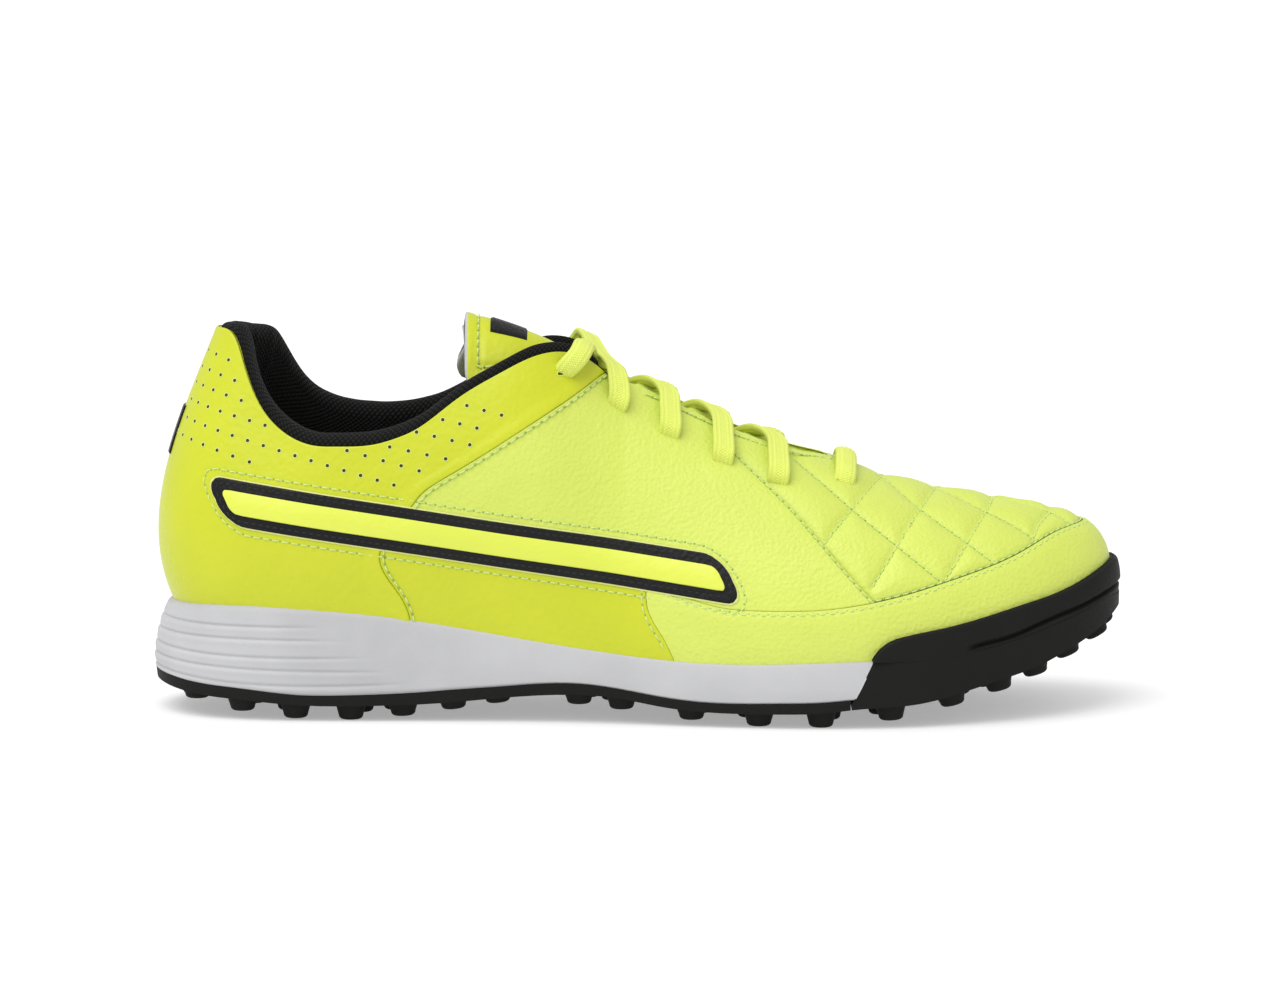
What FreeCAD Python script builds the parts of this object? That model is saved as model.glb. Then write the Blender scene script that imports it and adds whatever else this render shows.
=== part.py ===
import FreeCAD, Part
import math
import os

# A right-foot turf soccer shoe, about 292 mm long. Millimetres, +X to the toe, +Y to the big-toe side,
# +Z up. The origin is on the ground under the middle of the shoe's box.
#
# The upper's outer skin is one smooth form. Each point of it is given by two numbers: s runs round the
# shoe from the heel along the outer side (s < 0) through the toe tip (s = 0) and back along the inner
# side (s > 0); v runs up from the feather line, where the upper meets the sole (v = 0), to the ridge
# (v = 1). Every layer of the upper is a patch of that form, moved in or out along its normal.

Vec = FreeCAD.Vector


class Curve:
    """A smooth curve y(x) through stations: a natural cubic spline, held flat past its ends."""

    def __init__(self, *stations):
        self.x = [float(p[0]) for p in stations]
        self.y = [float(p[1]) for p in stations]
        n = len(self.x)
        h = [self.x[i + 1] - self.x[i] for i in range(n - 1)]
        c, d, self.m = [0.0] * n, [0.0] * n, [0.0] * n
        for i in range(1, n - 1):
            jump = (self.y[i + 1] - self.y[i]) / h[i] - (self.y[i] - self.y[i - 1]) / h[i - 1]
            pivot = 2 * (h[i - 1] + h[i]) - h[i - 1] * c[i - 1]
            c[i] = h[i] / pivot
            d[i] = (6 * jump - h[i - 1] * d[i - 1]) / pivot
        for i in range(n - 2, 0, -1):
            self.m[i] = d[i] - c[i] * self.m[i + 1]

    def _span(self, x):
        x = min(max(x, self.x[0]), self.x[-1])
        i = 0
        while i < len(self.x) - 2 and x > self.x[i + 1]:
            i += 1
        return x, i, self.x[i + 1] - self.x[i]

    def __call__(self, x):
        x, i, h = self._span(x)
        a, b = (self.x[i + 1] - x) / h, (x - self.x[i]) / h
        bend = (a**3 - a) * self.m[i] + (b**3 - b) * self.m[i + 1]
        return a * self.y[i] + b * self.y[i + 1] + bend * h * h / 6

    def slope(self, x):
        x, i, h = self._span(x)
        a, b = (self.x[i + 1] - x) / h, (x - self.x[i]) / h
        bend = (3 * b * b - 1) * self.m[i + 1] - (3 * a * a - 1) * self.m[i]
        return (self.y[i + 1] - self.y[i]) / h + bend * h / 6


# ---- driving dimensions -------------------------------------------------------------------------

LATERAL, MEDIAL = -1, 1
SIDES = {"lateral": LATERAL, "medial": MEDIAL}

# Plan of the feather line: an ellipse-like loop round a spine, with its own half width on each side.
MID_X, HALF_LENGTH = 0.7, 141.3
SPINE_SHARE = 0.80
SPINE_Y = Curve((-141, 0), (-60, 0), (20, 0.5), (50, 1.5), (75, 3), (100, 5), (120, 6.5), (143, 8))
HALF_WIDTH = {
    LATERAL: Curve((-140.6, 70), (-115, 54), (-95, 45.9), (-70, 39.8), (-40, 37.6), (-10, 39.6),
                   (20, 46.4), (50, 53.9), (75, 59.4), (100, 62.6), (120, 64.4), (142, 66)),
    MEDIAL: Curve((-140.6, 70), (-115, 51.4), (-95, 43.5), (-70, 35.2), (-40, 30.8), (-10, 32.6),
                  (20, 38.4), (50, 45.9), (75, 50.5), (100, 54.8), (120, 57.8), (142, 66)),
}

# Side profiles of the form: heights, and how the section bulges, rises and closes over the foot.
FEATHER_Z = Curve((-140.6, 33.5), (-120, 34.8), (-100, 34.3), (-78, 32.6), (-53, 29), (-29, 24.8),
                  (-5, 21.4), (19, 19.5), (43, 19.6), (64, 20.3), (90, 21), (110, 24), (128, 29.2),
                  (142, 34))
BULGE = Curve((-140.6, 11.9), (-125, 8), (-105, 5), (-75, 4), (-30, 3), (20, 3.5), (60, 4.5), (100, 6),
              (142, 8.1))
RISE = Curve((-140.6, 27), (-110, 26), (-75, 27), (-30, 29), (20, 26), (60, 23), (100, 21), (142, 21.5))
TOP_SHARE = Curve((-140.6, 0.45), (-130, 0.54), (-115, 0.72), (-95, 0.85), (-75, 0.84), (-55, 0.78),
                  (-40, 0.66), (-28, 0.45), (-14, 0.12), (-4, 0.0), (20, 0.0), (142, 0.0))
RIDGE = ((-55, 101), (-40, 109.5), (-28, 112.5), (-14, 108.6), (1, 100.4), (16, 94.0), (31, 88.2),
         (46, 82.8), (61, 78.3), (72, 75.3), (84, 72.0), (115, 66.0), (142, 62.5))
TOP_Z = {
    LATERAL: Curve((-140.6, 119.5), (-130, 115), (-115, 98), (-95, 89), (-75, 91), *RIDGE),
    MEDIAL: Curve((-140.6, 119.5), (-130, 116.5), (-120, 111.5), (-115, 106.5), (-108, 99.5), (-95, 92.5),
                  (-85, 90.5), (-75, 91), *RIDGE),
}
TOP_LEAN = Curve((-140.6, 69), (-115, 76), (-75, 78), (-55, 70), (-40, 55), (-28, 38), (-14, 12), (0, 0),
                 (20, 0), (142, 0))
TOP_REACH = Curve((-140.6, 30), (-115, 24), (-75, 20), (-40, 20), (0, 22), (40, 23), (84, 24), (115, 20),
                  (142, 14))

# Top line of the leather: the collar's height along x, and the half width of the throat.
COLLAR_Z = {
    LATERAL: Curve((-128, 115.4), (-125.5, 115.4), (-120, 111.4), (-117, 103), (-114, 96), (-108, 88),
                   (-102, 84), (-96, 82.2), (-90, 82), (-78, 82.7), (-72, 84.4), (-66, 87), (-53.5, 96.2),
                   (-41, 103.6), (-29, 108.8), (-22, 109.2), (-14, 106.4), (-9, 103.2), (0, 98)),
    MEDIAL: Curve((-128, 115.4), (-125.5, 115.2), (-119.4, 112.4), (-111.5, 107.0), (-103, 95.4),
                  (-93, 88.5), (-81, 86.3), (-66.5, 87.3), (-55.3, 91.5), (-41, 101), (-29, 107.5),
                  (-22, 108.5), (-14, 106), (-9, 103.2), (0, 98)),
}
THROAT_Y = Curve((-16, 19), (-9, 13.2), (0, 8.8), (8, 7.6), (23, 8.7), (33, 9.6), (44, 8.8), (50, 7),
                 (54, 4.6), (56.5, 0.0))
THROAT_BACK, THROAT_FRONT = -9.0, 56.5

# Layers of the upper, as offsets from the outer skin.
LEATHER = (-1.4, 0.0)
STIFFENER = (-2.6, -1.5)
LINING = (-3.6, -2.7)

# Collar padding: how far it stands in from the leather, and how far its roll stands above the edge.
PAD = Curve((-140, 6.4), (-60, 6.4), (-40, 4.6), (-25, 3.2), (-9, 2.2))
ROLL = Curve((-126, 2.4), (-116, 3.6), (-104, 4.2), (-75, 4.2), (-45, 3.8), (-25, 3.0), (-9, 2.2))
COLLAR_DEPTH = 30.0
MESH = 0.8

# Sole: side profiles of its underside, of the joint between rubber and foam, of the footbed, and the
# height of the stud tips.
UNDER_Z = Curve((-147, 9.6), (-138, 8), (-130, 7), (-120, 6.3), (-102, 4.9), (-80, 4.7), (-60, 5.5),
                (-41, 7.3), (-17, 8.6), (-5, 7.8), (7, 5.8), (20, 4.6), (43, 4.4), (55, 4.8), (65, 5.9),
                (85, 7.4), (98, 10.4), (111, 13.8), (122, 17.1), (128, 19.7), (137, 24), (148, 31.5))
JOINT_Z = Curve((-147, 13.2), (-138, 11.5), (-132, 10.7), (-120, 9.8), (-102, 8.0), (-90, 7.8),
                (-78, 8.1), (-66, 8.7), (-54, 9.7), (-41, 10.7), (-29, 11.7), (-17, 11.9), (-5, 10.6),
                (7, 8.7), (19, 7.5), (43, 7.6), (55, 8.0), (65, 8.9), (85, 10.4), (98, 13.2),
                (111, 16.6), (122, 20), (128, 22.6), (137, 26.9), (148, 34))
FOOTBED_Z = Curve((-147, 24.6), (-110, 23.5), (-60, 21), (-20, 18), (20, 14.2), (50, 13.6), (80, 15),
                  (98, 17.4), (111, 20.4), (122, 23.8), (130, 26.8), (137, 29.7), (148, 35.4))
TIP_Z = Curve((-142, 7), (-132, 5), (-118, 2.3), (-102, 0.4), (-85, 0), (-70, 1.1), (-55, 3.2), (-42, 5.2),
              (-17, 5.2), (-4.5, 4), (16, 1.6), (36, 0.2), (45, 0), (54, 0), (75, 1.9), (93, 5.5), (107, 9),
              (118, 12.6), (124, 15.4), (134, 19.8), (142, 23.8))
FLARE = Curve((-141, 5.4), (-125, 4.2), (-100, 2.7), (50, 2.5), (100, 3.3), (142, 4.7))
WALL = Curve((-0.4, 0.05), (0, 0.12), (0.15, 0.4), (0.3, 0.63), (0.55, 0.88), (0.8, 1.0), (1.0, 0.95),
             (1.3, 0.8))
SOLE_SPLIT = ((63.6, 0.0), (63.6, 7.6), (70.4, 20.6), (73.0, 26.0))
TOE_CAP_Z = Curve((66, 21.5), (72, 25.5), (79.5, 27.4), (91.6, 29.4), (103.7, 32.0), (115.8, 35.0),
                  (127.9, 38.1), (140, 43.0), (143, 44.3))
TOE_CAP_BACK, TOE_CAP_EDGE = 72.0, 2.0
BOARD = 1.5
SOCKLINER = 3.6
SOCK_INSET = Curve((-141, 9.4), (-120, 7.8), (-90, 6.4), (0, 5.8), (80, 6.0), (142, 7.2))

SOLE_LEVELS = (-3, 0, 3, 6, 9, 12, 15, 18, 21, 24, 27, 31, 35, 40, 50, 60)
SOLE_POINTS = 160
STUD_ROWS = (-132, -118, -102, -85.5, -70, -55, -41.7, -17.2, -4.5, 16.3, 36.3, 54.7, 75.3, 93.1, 107.3,
             118.5, 128.5, 137.5)
STUD_BASE_R, STUD_TIP_R, STUD_ROUND = 4.9, 3.7, 1.3
STUD_MARGIN, STUD_PITCH = 6.8, 15.5

# Seams on either side, as (x, z) stations in the side view.
HEEL_SEAM = ((-73, 57.5), (-66, 65.8), (-59.6, 71.5), (-47.2, 78.9), (-34.8, 86.7), (-22.7, 94.1))
HEEL_SEAM_LOW = ((-69.5, 36), (-73.8, 42.4), (-76.5, 48.4), (-75.5, 53.5), (-73, 57.5))
MID_SEAM_LOW = ((7.6, 26.6), (3.6, 33.7), (3.0, 42.0))
MID_TOP = ((-73, 57.5), (-45, 52.5), (-20, 47.4), (3.0, 42.0))
QUARTER_LOW = ((3.0, 42.0), (14, 38.6), (26, 35.4), (37.2, 34.8), (52, 35), (70.7, 37.3))
RAND_TOP = ((70.7, 37.3), (80, 39.2), (90.4, 41.9), (101, 44.8), (110.6, 47.8), (118.8, 51.2),
            (127.5, 54.6))
RAND_TIP = 135.6
VAMP_SEAM = ((70.7, 37.3), (60.5, 48.2), (49, 61), (39.9, 69.8), (29.6, 79.2))
VAMP_SEAM_TOP, HEEL_SEAM_TOP = 23.5, -9.5
HEEL_SEAM_FOOT, MID_SEAM_FOOT = -67.4, 12.1
EYESTAY_FRONT = 50.0

# Side band: a plain straight bar laid over the quarter, on a wider black underlay.
BAND = ((-129, 73.0), (25, 50.5), (32, 36.0), (-122, 58.5))
BAND_BORDER = 3.3

# Lace: a flat strap through a slit in each eyestay, in six rows. Where straps cross, the one that ends
# on the outer side lies on top.
EYELETS = ((62.3, 69.9), (42.3, 70.9), (25.7, 76.8), (9.7, 84.5), (-6.0, 93.0), (-21.5, 103.0))
LACE_WIDTH, LACE_THICK = 6.7, 1.7
LACE_OVER, LACE_UNDER = 3.1, 0.9
SLIT_LENGTH, SLIT_WIDTH = 8.6, 4.2

# Tongue: the height of its middle, how far it has dropped 25 mm out, its half width, and how far its
# middle stands off the spine.
TONGUE_Z = Curve((-51.5, 119.8), (-35, 114.4), (-22, 108.4), (-10, 100.8), (0, 94.8), (10, 90.4),
                 (30, 80.8), (45, 75.0), (60, 68.8), (68, 65.4))
TONGUE_DROP = Curve((-51.5, 43.6), (-44, 39.2), (-36, 34.4), (-28, 31.8), (-22, 31), (-8, 32.6), (0, 31.2),
                    (8, 29.5), (16, 27), (24, 22.6), (32, 19.2), (40, 17.2), (48, 15), (56, 12.6),
                    (68, 10.5))
TONGUE_HALF = Curve((-51.5, 17.5), (-44, 17.2), (-36, 16.2), (-28, 15.2), (-20, 16), (-10, 18), (0, 19.5),
                    (15, 21), (60, 21), (68, 19))
TONGUE_SHIFT = Curve((-51.5, -2.2), (-36, -1.5), (-24, -0.6), (-10, 0), (0, 0))
TONGUE_REAR, TONGUE_FRONT, TONGUE_HINGE = -51.5, 66.0, -27.0
TONGUE_LAYERS = {"face": (-1.2, 0.0), "foam": (-4.2, -1.3), "lining": (-5.1, -4.3)}


# ---- the form -----------------------------------------------------------------------------------

def smooth(x):
    x = min(max(x, 0.0), 1.0)
    return x * x * (3 - 2 * x)


def split(s):
    """The side and the 0..1 share of the loop from the toe, for a loop number that may pass the heel."""
    while s > 1:
        s -= 2
    while s < -1:
        s += 2
    return (MEDIAL if s >= 0 else LATERAL), abs(s)


def ray(s):
    """The feather point, the spine point it is seen from, and the direction and length between them."""
    side, u = split(s)
    a = math.pi * u
    x = MID_X + HALF_LENGTH * math.cos(a)
    y = SPINE_Y(x) + side * math.sin(a) * HALF_WIDTH[side](x)
    cx = MID_X + SPINE_SHARE * (x - MID_X)
    cy = SPINE_Y(cx)
    r = math.hypot(x - cx, y - cy)
    return x, cx, cy, (x - cx) / r, (y - cy) / r, r


def base(s, v):
    """The outer skin's point: a cubic section from the feather line to the ridge, on the ray at s."""
    x, cx, cy, dx, dy, r = ray(s)
    top = TOP_Z[split(s)[0]]
    z0 = FEATHER_Z(x)
    q3, z3 = r * max(0.0, TOP_SHARE(x)), top(x)
    lean, reach = math.radians(max(0.0, TOP_LEAN(x))), TOP_REACH(x)
    fall = top.slope(x) / SPINE_SHARE * dx * smooth((x + 24) / 20)
    w = 1 - v
    k0, k1, k2, k3 = w**3, 3 * w * w * v, 3 * w * v * v, v**3
    q = k0 * r + k1 * (r + BULGE(x)) + k2 * (q3 + reach * math.cos(lean)) + k3 * q3
    z = k0 * z0 + k1 * (z0 + RISE(x)) + k2 * (z3 - reach * math.sin(lean) + fall * reach) + k3 * z3
    return cx + dx * q, cy + dy * q, z


def unit(a):
    k = math.sqrt(a[0] ** 2 + a[1] ** 2 + a[2] ** 2) or 1.0
    return a[0] / k, a[1] / k, a[2] / k


def cross(p, q):
    return p[1] * q[2] - p[2] * q[1], p[2] * q[0] - p[0] * q[2], p[0] * q[1] - p[1] * q[0]


def minus(a, b):
    return a[0] - b[0], a[1] - b[1], a[2] - b[2]


def plus(a, b, k=1.0):
    return a[0] + k * b[0], a[1] + k * b[1], a[2] + k * b[2]


def distance(a, b):
    return math.sqrt((a[0] - b[0]) ** 2 + (a[1] - b[1]) ** 2 + (a[2] - b[2]) ** 2)


def normal(s, v):
    """The skin's outward direction."""
    if v > 0.99 and abs(s) < 0.1:
        slope = TOP_Z[LATERAL].slope(ray(s)[0]) / SPINE_SHARE
        return unit((-slope, 0.0, 1.0))
    e = 1e-4
    top = min(v + e, 1)
    return unit(cross(minus(base(s + e, v), base(s - e, v)), minus(base(s, top), base(s, top - 2 * e))))


def skin(s, v, off=0.0):
    p = base(s, v)
    return plus(p, normal(s, v), off) if off else p


def solve(f, lo, hi):
    """The root of f between lo and hi, where f(lo) and f(hi) differ in sign."""
    a = f(lo)
    for _ in range(34):
        mid = (lo + hi) / 2
        if (f(mid) > 0) == (a > 0):
            lo = mid
        else:
            hi = mid
    return (lo + hi) / 2


def locate(side, x, z):
    """The (u, v) of the skin's point at that x and height on one side, by Newton's method."""
    u, v = min(((i / 40, j / 20) for i in range(2, 40) for j in range(0, 20)),
               key=lambda g: distance(base(side * g[0], g[1]), (x, base(side * g[0], g[1])[1], z)))
    for _ in range(25):
        p, e = base(side * u, v), 1e-5
        a, b = base(side * (u + e), v), base(side * u, v + e)
        ax, az, bx, bz = (a[0] - p[0]) / e, (a[2] - p[2]) / e, (b[0] - p[0]) / e, (b[2] - p[2]) / e
        det = ax * bz - az * bx
        rx, rz = x - p[0], z - p[2]
        u = min(max(u + (rx * bz - rz * bx) / det, 0.001), 0.999)
        v = min(max(v + (ax * rz - az * rx) / det, -0.2), 1.0)
    return u, v


def edge_height(side, u):
    """The v of the leather's top edge: 1 where the upper is closed over the toes."""
    def collar(v):
        p = base(side * u, v)
        return p[2] - COLLAR_Z[side](p[0])

    def throat(v):
        p = base(side * u, v)
        return THROAT_Y(p[0]) - abs(p[1] - SPINE_Y(p[0]))

    if ray(side * u)[1] > THROAT_FRONT:
        return 1.0
    mid = base(side * u, 0.9)[0]
    blend = smooth((mid - THROAT_BACK + 5) / 8)
    v = 0.0
    if blend < 1:
        v += (1 - blend) * solve(collar, 0.2, 1.0)
    if blend > 0:
        v += blend * (solve(throat, 0.3, 1.0) if throat(1.0) > 0 else 1.0)
    return v


EDGE = {}
for edge_side in (LATERAL, MEDIAL):
    EDGE[edge_side] = Curve(*[(i / 120, edge_height(edge_side, i / 120)) for i in range(8, 121)])


def edge_v(s):
    side, u = split(s)
    return min(1.0, EDGE[side](u))


def low_v(s):
    """The v, below the feather line, at which the upper's hidden margin reaches the footbed board."""
    x = ray(s)[0]
    return -(FEATHER_Z(x) - FOOTBED_Z(x) - BOARD - 0.4) / (3 * RISE(x))


def drop(s, v, length):
    """The v that lies a length along the section below v."""
    p, step = base(s, v), 0.01
    while length > 0 and v > -0.1:
        q = base(s, v - step)
        gone = distance(p, q)
        if gone > length:
            return v - step * length / gone
        length -= gone
        v -= step
        p = q
    return v


def at_x(side, x, edge=edge_v):
    """The u at which the edge line passes x."""
    return solve(lambda u: base(side * u, edge(side * u))[0] - x, 0.12, 0.97)


# ---- outlines in (u, v) -------------------------------------------------------------------------

def line(points):
    """A smooth line through points of any dimension, by the share of its length."""
    share = [0.0]
    for a, b in zip(points, points[1:]):
        share.append(share[-1] + math.sqrt(sum((i - j) ** 2 for i, j in zip(a, b))))
    curves = [Curve(*[(k / share[-1], p[i]) for k, p in zip(share, points)]) for i in range(len(points[0]))]
    return lambda t: tuple(c(t) for c in curves)


def coons(bottom, top, left, right):
    """A patch between four lines: bottom and top run with a, left and right with b."""
    def at(a, b):
        lo, hi, le, ri = bottom(a), top(a), left(b), right(b)
        c00, c10, c01, c11 = bottom(0), bottom(1), top(0), top(1)
        return tuple((1 - b) * lo[i] + b * hi[i] + (1 - a) * le[i] + a * ri[i]
                     - (1 - a) * (1 - b) * c00[i] - a * (1 - b) * c10[i]
                     - (1 - a) * b * c01[i] - a * b * c11[i] for i in range(2))
    return at


def plan(s, v):
    """The skin unrolled over its ridge: distance from the spine is the length along the section there."""
    x, cx, cy, dx, dy, r = ray(s)
    d = (1 - v) * 3 * TOP_REACH(x)
    return cx + dx * d, cy + dy * d


def from_plan(p):
    """The (s, v) whose unrolled point is p."""
    side = MEDIAL if p[1] >= SPINE_Y(p[0]) else LATERAL

    def off_ray(u):
        x, cx, cy, dx, dy, r = ray(side * u)
        return (dx * (p[1] - cy) - dy * (p[0] - cx)) * side

    if abs(p[1] - SPINE_Y(p[0])) < 0.4 and p[0] < ray(0)[1]:
        u = solve(lambda t: ray(side * t)[1] - p[0], 0.0, 0.75)
    else:
        u = solve(off_ray, 0.75, 1e-4)
    x, cx, cy, dx, dy, r = ray(side * u)
    d = max(0.0, (p[0] - cx) * dx + (p[1] - cy) * dy)
    return side * u, 1 - d / (3 * TOP_REACH(x))


# ---- solids -------------------------------------------------------------------------------------

def clamped(count):
    """The knots and multiplicities of a cubic with that many poles."""
    knots = list(range(count - 2))
    return [4] + [1] * (count - 4) + [4], [float(k) for k in knots]


def surface(grid):
    """A smooth surface that the grid's points are the poles of, so it never swings past them."""
    made = Part.BSplineSurface()
    mults_a, knots_a = clamped(len(grid))
    mults_b, knots_b = clamped(len(grid[0]))
    made.buildFromPolesMultsKnots([[Vec(*p) for p in row] for row in grid],
                                  mults_a, mults_b, knots_a, knots_b, False, False, 3, 3)
    return made


def wall(row, other):
    """A straight-sided strip between two rows of poles."""
    made = Part.BSplineSurface()
    mults, knots = clamped(len(row))
    made.buildFromPolesMultsKnots([[Vec(*p) for p in row], [Vec(*p) for p in other]],
                                  [2, 2], mults, [0.0, 1.0], knots, False, False, 1, 3)
    return made


def sewn_solid(patches):
    """A closed solid from patches side by side: each has an outer and an inner point grid of one size,
    and the sides that need a wall: first and last row of the grid, first and last column."""
    faces = []
    for outer, inner, walls in patches:
        faces += [surface(outer).toShape(), surface(inner).toShape()]
        sides = [(grid[0], grid[-1], [row[0] for row in grid], [row[-1] for row in grid])
                 for grid in (outer, inner)]
        for row, other, wanted in zip(*sides, walls):
            if wanted:
                faces.append(wall(row, other).toShape())
    shell = Part.makeShell(faces)
    shell.sewShape(0.01)
    solid = Part.makeSolid(shell)
    if solid.Volume < 0:
        solid.reverse()
    return solid


def shell_solid(outer, inner):
    return sewn_solid([(outer, inner, (True, True, True, True))])


def layer(at, layers, across, up):
    """A solid over a patch: at(a, b) gives (s, v), and the two offsets are the layer's faces."""
    grids = []
    for off in layers:
        grids.append([[skin(*at(i / across, j / up), off) for j in range(up + 1)]
                      for i in range(across + 1)])
    return shell_solid(grids[1], grids[0])


def trimmed(at, gap_a, gap_b):
    """The same patch, drawn in by a share of itself at each side."""
    return lambda a, b: at(gap_a + (1 - 2 * gap_a) * a, gap_b + (1 - 2 * gap_b) * b)


def outline(inset, z, count=96):
    """A closed level wire round the sole: inset(s, x) is how far it lies outside the feather line."""
    points = []
    for i in range(count):
        s = -1 + 2 * i / count
        x, cx, cy, dx, dy, r = ray(s)
        points.append(Vec(x + dx * inset(x), cy + dy * (r + inset(x)), z))
    curve = Part.BSplineCurve()
    curve.interpolate(Points=points, PeriodicFlag=True)
    return Part.Wire([curve.toShape()])


def prism(inset):
    return Part.makeLoft([outline(inset, -5), outline(inset, 70)], True, True)


def sole_block():
    """The sole's outer wall as a closed block, taller than the sole."""
    def offset(x, z):
        share = (FEATHER_Z(x) - z) / (FEATHER_Z(x) - JOINT_Z(x))
        share = min(max(share, -0.4), 1.3)
        front = smooth((x - 66) / 10)
        return FLARE(x) * ((1 - front) * WALL(share) + front)

    rings = []
    for z in SOLE_LEVELS:
        ring = []
        for i in range(SOLE_POINTS):
            x, cx, cy, dx, dy, r = ray(-1 + 2 * i / SOLE_POINTS)
            out = offset(x, z)
            ring.append(Vec(x + dx * out, cy + dy * (r + out), z))
        rings.append(ring)
    mults, knots = clamped(len(rings))
    wall = Part.BSplineSurface()
    wall.buildFromPolesMultsKnots(rings, mults, [1] * (SOLE_POINTS + 1), knots,
                                  [float(i) for i in range(SOLE_POINTS + 1)], False, True, 3, 3)
    u0, u1, v0, v1 = wall.bounds()
    faces = [wall.toShape()]
    for u in (u0, u1):
        faces.append(Part.Face(Part.Wire([wall.uIso(u).toShape()])))
    shell = Part.makeShell(faces)
    shell.sewShape(0.01)
    solid = Part.makeSolid(shell)
    if solid.Volume < 0:
        solid.reverse()
    return solid


def slab(low, high, x0=-150.0, x1=150.0, raise_low=0.0, raise_high=0.0):
    """The space between two side profiles, across the whole width."""
    count = 72
    xs = [x0 + (x1 - x0) * i / count for i in range(count + 1)]
    under, over = Part.BSplineCurve(), Part.BSplineCurve()
    under.interpolate([Vec(x, -90, low(x) + raise_low) for x in xs])
    over.interpolate([Vec(x, -90, high(x) + raise_high) for x in xs])
    a, b = under.toShape(), over.toShape()
    ends = [Part.makeLine(Vec(x, -90, low(x) + raise_low), Vec(x, -90, high(x) + raise_high))
            for x in (x0, x1)]
    wire = Part.Wire(Part.__sortEdges__([a, ends[1], b, ends[0]]))
    return Part.Face(wire).extrude(Vec(0, 180, 0))


def side_block(points):
    """A polygon in the side view, across the whole width."""
    corners = [Vec(x, -90, z) for x, z in points]
    return Part.Face(Part.makePolygon(corners + corners[:1])).extrude(Vec(0, 180, 0))


def high(x):
    return 70.0


def largest(shape):
    return max(shape.Solids, key=lambda s: s.Volume)


# ---- sole ---------------------------------------------------------------------------------------

def stud_places():
    """The stud centres: each row spans the sole, and every other row has its inner studs shifted."""
    places = []
    for row, x in enumerate(STUD_ROWS):
        u = solve(lambda t: ray(t)[0] - x, 0.02, 0.98)
        y0, y1 = base(LATERAL * u, 0)[1], base(MEDIAL * u, 0)[1]
        y0, y1 = y0 + STUD_MARGIN - FLARE(x), y1 - STUD_MARGIN + FLARE(x)
        gaps = max(1, round((y1 - y0) / STUD_PITCH))
        for k in range(gaps + 1):
            shift = 2.5 * (1 if row % 2 else -1) if 0 < k < gaps else 0.0
            places.append((x + shift, y0 + (y1 - y0) * k / gaps))
    return places


def stud(x, y):
    """A tapered round stud with a rounded rim, let 1 mm into the sheet above it.

    The studs that clear the ground stand square to the rising sole.
    """
    tip, root = max(TIP_Z(x), 0.0), UNDER_Z(x) + 1.0
    height, slope = root - tip, max(UNDER_Z.slope(x), 0.0)
    profile = [Vec(0, 0, 0), Vec(STUD_TIP_R - STUD_ROUND, 0, 0)]
    rim = Part.Arc(profile[1], Vec(STUD_TIP_R - 0.3 * STUD_ROUND, 0, 0.3 * STUD_ROUND),
                   Vec(STUD_TIP_R, 0, STUD_ROUND)).toShape()
    edges = [Part.makeLine(profile[0], profile[1]), rim,
             Part.makeLine(Vec(STUD_TIP_R, 0, STUD_ROUND), Vec(STUD_BASE_R, 0, height)),
             Part.makeLine(Vec(STUD_BASE_R, 0, height), Vec(0, 0, height)),
             Part.makeLine(Vec(0, 0, height), Vec(0, 0, 0))]
    made = Part.makeSolid(Part.Face(Part.Wire(edges)).revolve(Vec(0, 0, 0), Vec(0, 0, 1), 360))
    if tip > 1:
        made.rotate(Vec(0, 0, height), Vec(0, 1, 0), -math.degrees(math.atan(slope)))
    made.translate(Vec(x, y, tip))
    return made


def build_sole():
    block = sole_block()
    behind = side_block(((-160, -10), *[(x - 0.1, z) for x, z in SOLE_SPLIT], (73, 70), (-160, 70)))
    ahead = side_block(((160, -10), (63.6, -10), *[(x + 0.1, z) for x, z in SOLE_SPLIT[1:]],
                        (73.1, 70), (160, 70)))
    inside = prism(lambda x: 0.1)
    core = prism(lambda x: -0.05)
    studs = {"rear": [], "front": []}
    for x, y in stud_places():
        studs["rear" if x < SOLE_SPLIT[0][0] else "front"].append(stud(x, y))

    rubber = block.common(slab(UNDER_Z, JOINT_Z))
    rear = largest(rubber.common(side_block(((-160, -10), (63.3, -10), (63.3, 70), (-160, 70)))))
    rear = rear.fuse(studs["rear"]).removeSplitter()

    foam = block.common(slab(JOINT_Z, FEATHER_Z, raise_low=0.05, raise_high=-0.05))
    foam = foam.common(behind).cut(inside.common(slab(FOOTBED_Z, high)))
    core = core.common(slab(JOINT_Z, FOOTBED_Z, raise_low=0.05))
    midsole = largest(foam.fuse(core).removeSplitter())

    front = block.common(slab(UNDER_Z, FEATHER_Z)).common(ahead)
    front = largest(front.cut(inside.common(slab(JOINT_Z, high))))
    front = front.fuse(studs["front"]).removeSplitter()
    bumper = largest(toe_wrap().cut(slab(UNDER_Z, FEATHER_Z, raise_high=0.05)))
    return {"outsole_rear": rear, "midsole": midsole, "outsole_front": front, "toe_bumper": bumper}


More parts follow.
